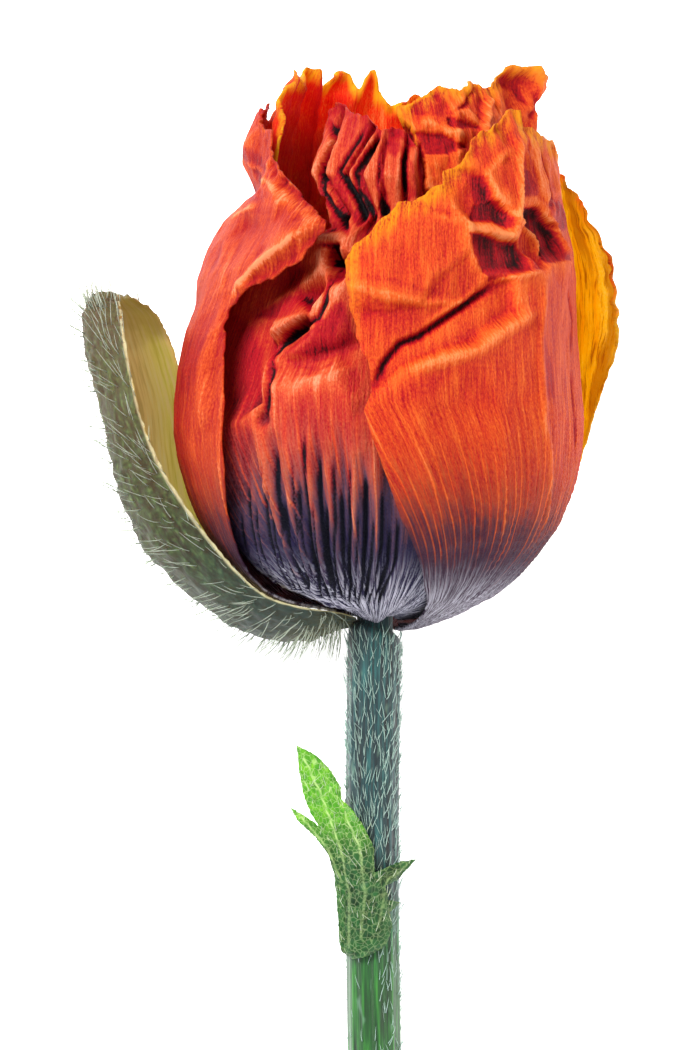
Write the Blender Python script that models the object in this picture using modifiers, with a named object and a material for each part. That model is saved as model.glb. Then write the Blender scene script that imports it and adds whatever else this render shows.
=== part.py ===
"""An oriental poppy flower opening from its bud, cut with a short stem and laid down.

Sizes are in millimetres until a mesh is finished.  The flower has its own frame: z runs up
the stem from the joint between stem and head, x points right and -y is the flower's front.
A point of a petal is given by its turn (degrees round the stem from the front, to the
right) and its rise, the length along the petal, which below the waist bends in under the
head.  At each turn and rise a ray runs outward, and the petal lies at one distance on it,
so its two faces never cross and one petal can be nested inside another.
"""

import math
import random

import bmesh
import bpy
import numpy as np
from mathutils import Matrix, Vector
from mathutils.bvhtree import BVHTree
from mathutils.geometry import delaunay_2d_cdt

MM = 0.001
COLLECTION = "poppy_flower"

# Clearances and thicknesses.
CLEARANCE = 0.35
PETAL_THICKNESS = 0.62
SEPAL_THICKNESS = 0.9
LEAF_THICKNESS = 0.7

# The head: half its width at each height, and how its middle drifts to the right.
WAIST = 22.0
RAY_BEND = 20.0
REACH = [(-9.4, 22.5), (-3.2, 22.5), (2.1, 22.8), (7.2, 22.3), (12.4, 21.6), (17.2, 20.9),
         (22.0, 20.3), (25.0, 20.0), (29.0, 19.2), (32.0, 18.8), (36.5, 18.2), (39.0, 17.2),
         (42.0, 16.0), (46.0, 15.6), (49.0, 15.1), (52.0, 14.2), (57.0, 12.5)]
DRIFT = [(-9.4, 0.0), (0.0, 0.3), (8.0, 0.7), (25.0, 0.9), (32.0, 1.8), (38.0, 2.3),
         (42.0, 3.1), (46.0, 2.9), (52.0, 2.6), (57.0, 3.0)]

# The underside of the head slants down to the right, round the top of the stem.
SLANT = 0.36
SLANT_RADIUS = 6.0
SLANT_TOP = 14.0

# The eye in front of the flower, from which the places of the front's folds are given.
EYE_DISTANCE = 292.0
EYE_X = -2.5
EYE_Z = 9.5
EYE_TURNS = 6

# The stem and the neck that carries the head.
STEM_RADIUS = 2.7
STEM_FOOT = -46.0
STEM_SHOULDER = -0.9
NECK_RADIUS = 1.85
NECK_TOP = 4.6

# The pose: the head lies on a flattened spot at its back, and the cut end touches too.
FLAT_DISTANCE = 20.0

# Mesh sizes.
PLAN_MM_PER_DEGREE = RAY_BEND * math.pi / 180.0
ROOM_RADIUS = 2.9
DRAW_IN_TURNS = 8
CAST_LENGTH = 60.0
STEEPEST = 0.5
LATTICE_SHAKE = 0.2
LATTICE_GAP = 0.62

# The claw's rises, and the rises between which a petal's crumple grows.
CLAW_RISES = (-4.0, 9.0)
CRUMPLE_RISES = (0.0, 26.0, 50.0)


def smooth_profile(points, width=3.0):
    """Return a function through a profile's points, with its corners rounded off."""
    knots = np.array(points, dtype=float)
    grid = np.linspace(knots[0, 0], knots[-1, 0], 500)
    table = np.interp(grid, knots[:, 0], knots[:, 1])
    half = max(1, int(round(width / (grid[1] - grid[0]) / 2.0)))
    kernel = np.ones(2 * half + 1) / (2 * half + 1)
    smooth = np.convolve(np.pad(table, half, mode="edge"), kernel, mode="valid")
    return lambda value: float(np.interp(value, grid, smooth))


reach = smooth_profile(REACH)
drift = smooth_profile(DRIFT)


def ray(turn, rise):
    """Return the origin and the direction of the outward ray at a turn and a rise."""
    dip = max(0.0, (WAIST - rise) / RAY_BEND)
    angle = math.radians(turn)
    origin = Vector((drift(rise), 0.0, max(rise, WAIST)))
    direction = Vector((math.cos(dip) * math.sin(angle), -math.cos(dip) * math.cos(angle), -math.sin(dip)))
    return origin, direction


def ring_at(rise):
    """Return the height and the radius of the head's ring at a rise."""
    dip = max(0.0, (WAIST - rise) / RAY_BEND)
    return max(rise, WAIST) - reach(rise) * math.sin(dip), reach(rise) * math.cos(dip)


RISES = np.linspace(-8.0, 57.0, 261)
RINGS = np.array([ring_at(rise) for rise in RISES])


def front(x, z, relief=0.0):
    """Return the turn, rise and relief of a point of the head seen from the eye at x and z."""
    depth = 0.0
    for _ in range(EYE_TURNS):
        share = (EYE_DISTANCE - depth) / EYE_DISTANCE
        rise = float(np.interp(EYE_Z + (z - EYE_Z) * share, RINGS[:, 0], RISES))
        radius = ring_at(rise)[1] + relief
        sine = (EYE_X + (x - EYE_X) * share - drift(rise)) / radius
        sine = max(-1.0, min(1.0, sine))
        depth = radius * math.sqrt(1.0 - sine * sine)
    return math.degrees(math.asin(sine)), rise, relief


def slanted(point):
    """Return a point of the head moved down to the right near the stem."""
    radius = math.hypot(point.x, point.y)
    fade = max(0.0, min(1.0, (SLANT_TOP - point.z) / 8.0))
    fade *= max(0.0, min(1.0, (point.z + 7.0) / 5.0))
    drop = SLANT * point.x * math.exp(-(radius / SLANT_RADIUS) ** 2)
    return Vector((point.x, point.y, point.z - drop * fade))


def pose_tilt():
    """Return the angle by which the stem points down when head and cut end both rest."""
    tilt = 0.0
    for _ in range(40):
        low = FLAT_DISTANCE - STEM_RADIUS * math.cos(tilt)
        tilt = math.asin(low / (WAIST - STEM_FOOT))
    return tilt


TILT = pose_tilt()
FLOOR_NORMAL = Vector((0.0, math.cos(TILT), -math.sin(TILT)))
FLOOR_DISTANCE = FLAT_DISTANCE - WAIST * math.sin(TILT)


def floor_limit(origin, direction):
    """Return how far a ray may go before it meets the surface the flower lies on."""
    along = direction.dot(FLOOR_NORMAL)
    if along < 0.2:
        return math.inf
    return (FLOOR_DISTANCE - origin.dot(FLOOR_NORMAL)) / along


def plan(point):
    """Return a petal point's place in the flat plan, in millimetres."""
    return Vector((point[0] * PLAN_MM_PER_DEGREE, point[1]))


def divided(points, closed, spacing):
    """Return a line's points with more between them, none further apart than the spacing."""
    count = len(points) if closed else len(points) - 1
    result = []
    for index in range(count):
        start = points[index]
        end = points[(index + 1) % len(points)]
        steps = max(1, math.ceil((plan(end) - plan(start)).length / spacing))
        for step in range(steps):
            share = step / steps
            result.append(tuple(a + (b - a) * share for a, b in zip(start, end)))
    if not closed:
        result.append(points[-1])
    return result


def inside_weights(corners, point):
    """Return the three weights of a plan point in a triangle, or None when it is outside."""
    (ax, ay), (bx, by), (cx, cy) = corners
    area = (bx - ax) * (cy - ay) - (cx - ax) * (by - ay)
    if abs(area) < 1e-9:
        return None
    second = ((point[0] - ax) * (cy - ay) - (cx - ax) * (point[1] - ay)) / area
    third = ((bx - ax) * (point[1] - ay) - (point[0] - ax) * (by - ay)) / area
    if min(second, third, 1.0 - second - third) < -1e-6:
        return None
    return 1.0 - second - third, second, third


class FoldMap:
    """The relief of a sheet: its outline, its fold lines and the flat facets between them."""

    def __init__(self, outline, folds, spacing, crumple, seed, depth=1.0):
        self.points = []
        self.edges = []
        self.add_line(divided(outline, True, spacing), closed=True)
        for fold in folds:
            deeper = [(turn, rise, relief * depth) for turn, rise, relief in fold]
            self.add_line(divided(deeper, False, spacing), closed=False)
        self.triangulate()
        self.fill(spacing, crumple, random.Random(seed))
        self.triangulate()

    def add_line(self, points, closed):
        """Add the points of a line and the edges between them."""
        first = len(self.points)
        self.points.extend(points)
        last = len(self.points) - 1
        self.edges.extend((index, index + 1) for index in range(first, last))
        if closed:
            self.edges.append((last, first))

    def triangulate(self):
        """Triangulate the plan, keeping every fold line as an edge."""
        flat = [plan(point) for point in self.points]
        result = delaunay_2d_cdt(flat, self.edges, [], 1, 1e-5)
        corners, edges, self.faces, sources = result[0], result[1], result[2], result[3]
        points = []
        for corner, source in zip(corners, sources):
            relief = self.points[source[0]][2] if source else None
            points.append((corner.x / PLAN_MM_PER_DEGREE, corner.y, relief))
        self.points = [self.crossing(points, edges, index) for index in range(len(points))]
        known = {}
        for index, source in enumerate(sources):
            for old in source:
                known[old] = index
        self.edges = [(known[a], known[b]) for a, b in self.edges if known[a] != known[b]]

    @staticmethod
    def crossing(points, edges, index):
        """Return a point, with its neighbours' relief where two fold lines cross there."""
        turn, rise, relief = points[index]
        if relief is not None:
            return points[index]
        near = [points[a if b == index else b][2] for a, b in edges if index in (a, b)]
        near = [value for value in near if value is not None]
        return turn, rise, sum(near) / len(near)

    def relief_at(self, place):
        """Return the relief at a place in the plan, or None outside the outline."""
        for face in self.faces:
            weights = inside_weights([plan(self.points[index]) for index in face], place)
            if weights:
                return sum(w * self.points[index][2] for w, index in zip(weights, face))
        return None

    def fill(self, spacing, crumple, draw):
        """Add a lattice of points, crumpled more and more towards the rim."""
        flat = [plan(point) for point in self.points]
        low = Vector((min(p.x for p in flat), min(p.y for p in flat)))
        high = Vector((max(p.x for p in flat), max(p.y for p in flat)))
        row_height = spacing * math.sqrt(0.75)
        for row in range(int((high.y - low.y) / row_height) + 1):
            shift = (row % 2) * 0.5
            for column in range(int((high.x - low.x) / spacing) + 1):
                wobble = Vector((draw.uniform(-1.0, 1.0), draw.uniform(-1.0, 1.0))) * LATTICE_SHAKE * spacing
                lift = draw.uniform(-1.0, 1.0)
                place = low + Vector(((column + shift) * spacing, row * row_height)) + wobble
                if min((place - other).length for other in flat) < LATTICE_GAP * spacing:
                    continue
                relief = self.relief_at(place)
                if relief is None:
                    continue
                flat.append(place)
                relief += lift * float(np.interp(place.y, CRUMPLE_RISES, crumple))
                self.points.append((place.x / PLAN_MM_PER_DEGREE, place.y, relief))


def room_inside(trees, turn, rise):
    """Return how far out a petal may lie at a turn and a rise, inside the outer petals."""
    nearest = math.inf
    radius = max(4.0, ring_at(rise)[1])
    places = [(0.0, 0.0)]
    for share in (0.5, 1.0):
        for step in range(8):
            angle = math.radians(45.0 * step)
            places.append((share * math.cos(angle), share * math.sin(angle)))
    for across, along in places:
        side = turn + math.degrees(across * ROOM_RADIUS / radius)
        origin, direction = ray(side, rise + along * ROOM_RADIUS)
        for tree in trees:
            hit = tree.ray_cast(origin, direction, CAST_LENGTH)
            if hit[0] is not None:
                nearest = min(nearest, hit[3])
    return nearest - CLEARANCE


def petal_sheet(fold_map, rays, distances):
    """Return a petal's closed mesh, and which ray each of its points lies on."""
    mesh = bmesh.new()
    for (origin, direction), distance in zip(rays, distances):
        mesh.verts.new(origin + direction * distance)
    mesh.verts.ensure_lookup_table()
    for face in fold_map.faces:
        mesh.faces.new([mesh.verts[index] for index in face])
    mesh.normal_update()
    depths = []
    for vert, (_, direction) in zip(mesh.verts, rays):
        depths.append(PETAL_THICKNESS / max(STEEPEST, abs(vert.normal.dot(direction))))
    ray_of = {tuple(vert.co): index for index, vert in enumerate(mesh.verts)}
    owners = list(range(len(rays)))
    copied = bmesh.ops.extrude_face_region(mesh, geom=mesh.faces[:])
    mesh.verts.index_update()
    for item in copied["geom"]:
        if isinstance(item, bmesh.types.BMVert):
            index = ray_of[tuple(item.co)]
            item.co -= rays[index][1] * depths[index]
            owners.append(index)
    bmesh.ops.triangulate(mesh, faces=[face for face in mesh.faces if len(face.verts) > 3])
    bmesh.ops.recalc_face_normals(mesh, faces=mesh.faces[:])
    return mesh, owners


def petal_solid(fold_map, offset, claw_share, trees):
    """Return a petal's closed mesh, drawn in wherever it would touch the petals outside it."""
    rays = []
    distances = []
    for turn, rise, relief in fold_map.points:
        origin, direction = ray(turn, rise)
        share = float(np.interp(rise, CLAW_RISES, (claw_share, 1.0)))
        distance = reach(rise) + offset * share + relief
        distance = min(distance, room_inside(trees, turn, rise), floor_limit(origin, direction))
        rays.append((origin, direction))
        distances.append(distance)
    for _ in range(DRAW_IN_TURNS):
        mesh, owners = petal_sheet(fold_map, rays, distances)
        mesh.faces.ensure_lookup_table()
        own_tree = BVHTree.FromBMesh(mesh)
        touching = set()
        for tree in trees:
            for face_index, _ in own_tree.overlap(tree):
                touching.update(owners[vert.index] for vert in mesh.faces[face_index].verts)
        if not touching:
            break
        for index in touching:
            distances[index] -= CLEARANCE
        mesh.free()
    return mesh


def material(name, colour, roughness):
    """Return a plain material."""
    new = bpy.data.materials.new(name)
    new.use_nodes = True
    shader = new.node_tree.nodes["Principled BSDF"]
    shader.inputs["Base Color"].default_value = (*colour, 1.0)
    shader.inputs["Roughness"].default_value = roughness
    shader.inputs["Metallic"].default_value = 0.0
    new.diffuse_color = (*colour, 1.0)
    return new


def add_object(name, mesh, finish, home, parent):
    """Add a bmesh given in flower millimetres as a named object under the laid-down axis."""
    for vert in mesh.verts:
        vert.co = slanted(vert.co) * MM
    data = bpy.data.meshes.new(name)
    mesh.to_mesh(data)
    mesh.free()
    data.shade_smooth()
    data.set_sharp_from_angle(angle=math.radians(35.0))
    data.materials.append(finish)
    new = bpy.data.objects.new(name, data)
    home.objects.link(new)
    new.parent = parent
    return new


def petal_front_right():
    """Outer petal at the front right: a folded-over lobe, a lit shoulder and two pockets."""
    outline = [(50, -7.2, 0), (44, -6, 0), (36, -3, 0), front(5.0, 3.0), front(2.6, 10), front(0.7, 15.5),
               front(-1.2, 21.0, 0.2), front(-0.2, 23.0, -0.4), front(-1.0, 26.3, -0.2),
               front(-1.8, 28.8, 0.1), front(-2.7, 32.2, 0.3), front(-3.0, 34.5, 0.5),
               front(-2.5, 37.3, 0.6), front(-1.3, 38.7, 0.5), front(0.5, 40.5, 0.4), front(3.5, 42.0, 0.2),
               front(5.0, 42.6, 0.4), front(6.7, 43.4, 0.0), front(6.9, 45.2, -0.5), front(8.9, 45.7, 0.2),
               front(9.6, 48.2, -0.4), front(10.9, 49.0, 0.2), front(12.4, 49.6, -0.4),
               front(13.0, 51.2, 0.2), front(14.0, 51.0, 0.6), front(14.6, 49.4, 0.1),
               front(16.2, 48.6, 0.4), front(17.6, 47.8, 0.0), front(18.0, 46.6, 0.2), (93, 43, -0.8),
               (104, 39, -1.2), (112, 33, -0.8), (115, 24, -0.3), (114, 14, 0), (109, 5, 0), (100, -1, 0),
               (90, -5, 0), (80, -7.2, 0)]
    folds = [
        [front(1.1, 25.7, -1.7), front(2.8, 27.6, -2.3), front(4.1, 28.6, -2.5), front(7.8, 31.5, -2.9),
         front(10.9, 33.6, -2.4)],
        [front(0.4, 22.4, 0.2), front(2.8, 24.9, 0.5), front(6.5, 26.1, 0.7), front(10.4, 27.1, 0.8),
         front(12.9, 28.8, 0.8), front(16.3, 31.0, 0.8)],
        [front(-1.9, 34.0, 0.9), front(1.1, 33.0, 0.8), front(4.4, 31.9, 0.2), front(6.6, 31.7, -1.2)],
        [front(-1.0, 30.4, -0.5), front(1.2, 29.6, -0.9), front(3.0, 29.4, -1.5)],
        [front(0.5, 37.6, 0.3), front(3.0, 36.2, -0.1), front(6.2, 35.0, 0.2)],
        [front(6.3, 42.0, 0.2), front(9.2, 39.7, 0.4), front(9.5, 38.3, 0.3), front(10.2, 35.8, -0.6)],
        [front(9.9, 39.1, 0.4), front(12.0, 38.7, 0.6), front(13.9, 38.0, 0.6)],
        [front(10.4, 37.9, -1.6), front(12.2, 37.2, -2.0), front(14.0, 36.6, -1.8), front(15.6, 35.6, -0.8)],
        [front(11.4, 34.0, 0.3), front(14.0, 34.4, 0.6), front(16.6, 34.9, 0.9)],
        [front(10.0, 40.6, -0.9), front(11.8, 40.8, -1.0)],
        [front(14.1, 48.6, 0.6), front(14.4, 44.9, 0.8), front(14.4, 41.0, 0.7), front(14.5, 38.4, 0.8),
         front(17.0, 34.6, 1.0), front(16.9, 31.9, 0.9), front(16.8, 25.0, 0.8), front(16.6, 19.0, 0.6),
         front(16.0, 8.0, 0.3)],
        [front(15.0, 41.4, 0.5), front(16.1, 41.7, 0.5)],
        [front(15.5, 40.0, -1.2), front(16.6, 39.2, -1.7), front(17.6, 37.8, -1.5), front(18.6, 36.7, -0.8)],
        [front(17.5, 35.6, 0.7), front(18.8, 35.8, 0.7)],
        [front(16.4, 41.4, 0.5), front(18.0, 39.8, 0.7), front(19.6, 36.6, 0.7)],
        [front(11.3, 44.8, 0.5), front(12.4, 42.2, 0.9), front(13.9, 40.9, 0.9)],
        [front(15.4, 48.4, 0.5), front(16.6, 45.4, 0.5), front(17.8, 42.0, 0.6), front(18.9, 38.4, 0.5)],
        [front(9.4, 44.2, -0.7), front(10.4, 42.0, -0.9)],
        [front(19.4, 35.5, -0.5), front(19.6, 28.0, -0.5), front(19.8, 20.0, -0.5), front(19.0, 10.0, -0.3)],
        [front(4.2, 20.0, 0.3), front(5.2, 12.0, 0.2), (35, 1, 0)],
        [front(8.8, 22.0, -0.2), front(9.0, 12.0, -0.2), (48, 1, 0)],
        [front(12.6, 22.5, 0.4), front(12.4, 12.0, 0.3), (60, 1, 0)],
    ]
    return FoldMap(outline, folds, spacing=3.2, crumple=(0.05, 0.15, 0.35), seed=11, depth=1.3), 0.0, 1.0


def petal_left():
    """Outer petal at the left: a smooth cheek with a rolled front edge and a forward flap."""
    outline = [(-78, -7.2, 0), (-75, -3, 0), (-71, 1, 0), front(-14.3, 8.0), front(-15.2, 15.0),
               front(-15.1, 22.0, 0.3), front(-14.9, 27.0, 0.4), front(-14.4, 31.0, 0.3),
               front(-12.2, 33.4, -0.6), front(-9.8, 34.6, -0.8), front(-7.7, 36.0, -0.9),
               front(-6.2, 37.8, -0.8), front(-5.2, 38.9, -0.5), front(-4.7, 39.9, 0.2),
               front(-5.9, 41.2, -0.3), front(-7.6, 43.1, -0.2), front(-8.6, 44.2, -0.7),
               front(-9.9, 45.9, -0.4), front(-10.5, 47.6, -0.8), front(-10.7, 49.0, -0.4),
               front(-11.4, 49.6, -0.6), (-84, 52.3, -0.4), (-98, 52.6, -0.9), (-108, 50.4, -0.4),
               (-120, 51.6, -1.0), (-133, 49.8, -0.3), (-146, 51.0, -1.0), (-160, 48.2, -0.6),
               (-174, 46.0, -0.4), (-186, 39, -0.6), (-190, 30, -0.6), (-190, 18, 0), (-185, 8, 0),
               (-172, 0, 0), (-155, -4, 0), (-140, -7.2, 0)]
    folds = [
        [front(-14.6, 30.4, 1.0), front(-13.6, 33.4, 1.0), front(-12.5, 35.2, 0.8), front(-10.2, 37.3, 0.9),
         front(-8.2, 38.6, 0.9), front(-6.1, 39.7, 0.8)],
        [front(-17.6, 21.0, 0.7), front(-17.4, 25.8, 0.9), front(-15.9, 29.4, 0.8)],
        [front(-15.9, 20.0, 0.0), front(-16.2, 24.0, 0.0), front(-15.4, 27.5, 0.2)],
        [front(-14.0, 40.6, 0.6), front(-11.6, 41.4, 0.5), front(-9.6, 42.2, 1.0), front(-10.0, 44.2, 0.9),
         front(-11.0, 46.4, 0.5), front(-11.4, 47.9, 0.3)],
        [front(-9.2, 42.2, 0.5), front(-7.7, 40.3, 0.6)],
        [front(-12.6, 39.4, -0.5), front(-10.6, 39.3, -0.2)],
        [(-112, 42.6, -0.9), (-96, 42.3, -1.0), (-80, 42.6, -0.9), (-68, 43.0, -0.6)],
        [(-108, 38.0, 0.8), (-92, 39.3, 0.9), (-78, 39.8, 0.7)],
        [(-104, 47.0, 0.5), (-92, 46.0, 0.6), (-82, 47.5, 0.5)],
        [(-122, 46.5, 0.8), (-126, 38.0, 0.9), (-124, 28.0, 0.5), (-122, 16.0, 0.2)],
        [(-136, 45.5, -0.9), (-140, 37.0, -0.6), (-138, 27.0, -0.3)],
        [(-150, 46.0, 0.7), (-155, 38.0, 0.6), (-152, 28.0, 0.3)],
    ]
    return FoldMap(outline, folds, spacing=3.4, crumple=(0.05, 0.15, 0.5), seed=23, depth=1.2), 0.0, 1.0


def petal_back_right():
    """Outermost petal, round the back, with a free lobe that stands off at the right."""
    outline = [(114, -7.2, 0), (113, -3, 0), (112, 3, 0), (111, 10, 0), (108, 16, 0.1), (104, 19.6, 0.5),
               (99.5, 22.4, 1.3), (97, 25.5, 2.8), (95.5, 28, 3.7), (95, 30.5, 3.7), (95, 34.7, 3.5),
               (96, 37, 3.0), (97.5, 39.6, 2.0), (99.5, 41.6, 1.2), (104, 43.6, 0.6), (112, 45.4, 0.9),
               (120, 44.4, 0.0), (130, 47.2, 0.6), (140, 45.8, -0.4), (150, 48.4, 0.5), (163, 46.8, -0.2),
               (176, 48.2, 0.5), (190, 44.6, 0.0), (201, 38, 0.3), (206, 28, 0.2), (205, 15, 0),
               (199, 6, 0), (186, -1, 0), (174, -4.5, 0), (162, -7.2, 0)]
    folds = [
        [(104, 40.5, 0.8), (104.5, 36.0, 1.3), (104.5, 30.0, 1.4), (104, 25.0, 0.9)],
        [(116, 43.0, 1.4), (119, 34.0, 1.2), (117, 24.0, 0.8), (116, 12.0, 0.4)],
        [(132, 44.5, 0.0), (130, 35.0, 0.2), (131, 26.0, 0.4)],
        [(146, 45.5, 1.2), (144, 37.0, 1.2), (146, 28.0, 0.9), (142, 16.0, 0.5)],
        [(160, 43.5, 0.0), (158, 35.0, 0.4), (160, 27.0, 0.5)],
        [(176, 45.0, 1.1), (179, 38.0, 1.0), (176, 31.0, 0.9)],
        [(193, 40.0, 0.2), (192, 32.0, 0.4), (190, 24.0, 0.5)],
    ]
    return FoldMap(outline, folds, spacing=3.6, crumple=(0.05, 0.2, 0.5), seed=37), 0.9, 0.1


def fan_pleats():
    """Grooves and ridges of the front petal's belly, which run down together to its claw."""
    lines = []
    for groove in range(7):
        turn = -41.0 + 7.0 * groove
        top = 17.5 + 2.0 * math.sin(2.3 * groove)
        lines.append([(turn, top, -0.2), (turn, top - 4.0, -0.9),
                      (turn - 1.0, 4.0, -1.0), (turn - 1.0, -2.5, -0.5)])
        ridge = turn + 3.5
        lines.append([(ridge, top + 1.0, 0.1), (ridge, top - 5.0, 0.2),
                      (ridge - 1.0, 4.0, 0.2), (ridge - 1.0, -2.5, 0.1)])
    return lines


ACCORDION_HEIGHTS = (49.6, 47.3, 44.8, 42.8, 40.6)
ACCORDION_RELIEF = (-3.6, -2.2, -1.4, -2.2, -3.2)
# Each pleat's left and right edge, as x at the top, at the kink and at the foot.
ACCORDION_PLEATS = [
    ((-6.0, -7.7, -4.6), (-5.0, -7.0, -3.8)),
    ((-4.3, -6.2, -3.0), (-0.9, -4.2, -1.6)),
    ((-0.2, -3.5, -1.0), (0.3, -2.7, -0.5)),
    ((0.9, -1.8, 0.0), (0.8, 0.0, 0.8)),
    ((1.3, 0.5, 1.3), (3.2, 2.5, 2.9)),
    ((4.0, 3.2, 3.7), (4.6, 4.2, 4.4)),
]
ACCORDION_DEPTH = 2.1


def pleat_edge(edge):
    """Return the points of one edge of a pleat, from top to foot."""
    top, kink, foot = edge
    across = np.interp(ACCORDION_HEIGHTS, (40.6, 44.8, 49.6), (foot, kink, top))
    return [front(x, z, relief) for x, z, relief in zip(across, ACCORDION_HEIGHTS, ACCORDION_RELIEF)]


def accordion():
    """Upright pleats at the top of the front petal, all kinked outward at one height."""
    lines = []
    edges = [(pleat_edge(left), pleat_edge(right)) for left, right in ACCORDION_PLEATS]
    for index, (left, right) in enumerate(edges):
        if index > 0:
            lines.append(left)
            groove = []
            for before, after in zip(edges[index - 1][1], left):
                middle = [(a + b) / 2.0 for a, b in zip(before, after)]
                groove.append((middle[0], middle[1], middle[2] - ACCORDION_DEPTH))
            lines.append(groove)
        lines.append(right)
    return lines


def petal_front():
    """Inner petal at the front: a pleated belly, a deep hollow and an accordion at the top."""
    outline = [(-45, -7.2, 0), (-58, -4, 0), (-68, 2, 0), (-76, 10, 0), (-82, 20, 0), (-84, 29, 0),
               (-80, 35.5, -1.0), (-66, 38.0, -2.0), front(-9.6, 38.0, -2.6), front(-6.8, 38.6, -1.6),
               front(-4.8, 39.4, -3.0), front(-6.2, 42.8, -2.2), front(-7.6, 44.8, -1.4),
               front(-6.8, 47.3, -2.2), front(-5.9, 49.6, -3.6), front(-5.4, 51.0, -4.0),
               front(-4.2, 51.9, -4.2), front(-2.9, 51.0, -3.6), front(-1.2, 50.3, -3.4),
               front(0.3, 49.2, -3.6), front(1.6, 49.4, -4.6), front(3.2, 48.8, -5.2),
               front(4.6, 46.6, -4.4), front(5.0, 43.0, -3.4), (22, 39.5, -4.2), (36, 36.0, -4.4),
               (48, 30, -3.0), (54, 22, 0), (54, 12, 0), (50, 3, 0), (44, -3, 0), (36, -7.2, 0)]
    folds = fan_pleats() + [
        [front(-9.4, 22.8, 0.4), front(-6.4, 23.9, 0.5), front(-2.8, 25.2, 0.4), front(0.5, 26.4, -0.6)],
        [front(-9.2, 25.8, -1.6), front(-6.8, 26.0, -1.8), front(-4.0, 26.9, -2.0), front(-0.8, 28.2, -2.6)],
        [front(-4.9, 32.6, -3.6), front(-7.2, 29.6, -3.4), front(-9.9, 27.1, -3.0), front(-10.9, 24.8, -2.4),
         front(-11.2, 22.0, -2.0), front(-11.6, 19.6, -1.4)],
        [front(-4.2, 33.4, 0.2), front(-4.9, 31.2, 0.2), front(-7.0, 28.6, 0.0), front(-9.2, 26.9, -0.6)],
        [front(-2.9, 32.0, -0.4), front(-3.6, 29.2, -0.6), front(-4.6, 28.0, -0.9)],
        [front(-6.0, 35.6, -0.8), front(-5.9, 33.2, -0.4), front(-8.4, 30.6, -0.2), front(-11.6, 28.8, 0.3),
         front(-12.6, 24.0, 0.4), front(-13.0, 19.0, 0.3), front(-12.2, 12.0, 0.0)],
        [front(-11.6, 32.0, -2.6), front(-9.6, 33.6, -3.6), front(-8.0, 35.2, -3.0)],
        [front(-3.4, 37.4, -4.0), front(-3.0, 36.0, -6.2), front(-3.2, 34.6, -4.2)],
        [front(-6.0, 37.7, -0.8), front(-4.4, 37.9, -0.7), front(-3.1, 38.4, -1.4)],
    ] + accordion()
    return FoldMap(outline, folds, spacing=3.0, crumple=(0.0, 0.1, 0.2), seed=41), -1.3, 0.1


def petal_back_left():
    """Inner petal at the back left, whose crumpled rim stands highest of all."""
    outline = [(-196, -7.2, 0), (-202, 0, 0), (-206, 12, 0), (-208, 26, 0), (-208, 40, 0),
               (-204, 47.5, -1.0), (-196, 53.4, -0.4), (-188, 54.6, -1.2), (-180, 56.6, -0.4),
               (-171, 56.0, -1.4), (-163, 56.8, -0.6), (-155, 54.6, -1.6), (-148, 56.0, -0.4),
               (-141, 56.4, -1.4), (-133, 54.2, -0.2), (-124, 56.0, -1.4), (-115, 56.2, -0.2),
               (-108, 54.0, -1.8), (-101, 55.0, -0.4), (-92, 54.8, -1.4), (-83, 53.0, -0.2),
               (-76, 50.0, -1.4), (-72, 46.0, -0.6), (-74, 40.0, 0), (-84, 30, 0), (-100, 18, 0),
               (-120, 8, 0), (-135, 0, 0), (-146, -7.2, 0)]
    folds = [
        [(-80, 51.5, 0.3), (-83, 46.0, 0.2), (-86, 40.0, 0.2)],
        [(-90, 53.0, -1.4), (-93, 47.0, -1.2), (-95, 40.0, -0.6)],
        [(-98, 53.4, 0.4), (-102, 46.0, 0.3), (-105, 38.0, 0.2)],
        [(-108, 52.0, -1.8), (-112, 45.0, -1.2), (-116, 36.0, -0.6)],
        [(-117, 54.6, 0.4), (-121, 47.0, 0.4), (-124, 38.0, 0.3)],
        [(-128, 53.6, -1.6), (-131, 46.0, -1.2), (-135, 37.0, -0.6)],
        [(-138, 53.6, 0.4), (-141, 46.0, 0.3), (-144, 38.0, 0.2)],
        [(-150, 51.6, -1.8), (-152, 45.0, -1.2), (-155, 37.0, -0.6)],
        [(-163, 52.2, 0.3), (-164, 45.0, 0.3), (-166, 37.0, 0.2)],
        [(-174, 51.4, -1.4), (-176, 45.0, -1.0), (-178, 37.0, -0.5)],
        [(-187, 50.6, 0.3), (-188, 44.0, 0.3), (-190, 36.0, 0.2)],
    ]
    return FoldMap(outline, folds, spacing=3.8, crumple=(0.05, 0.1, 0.4), seed=53), -1.6, 0.8


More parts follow.
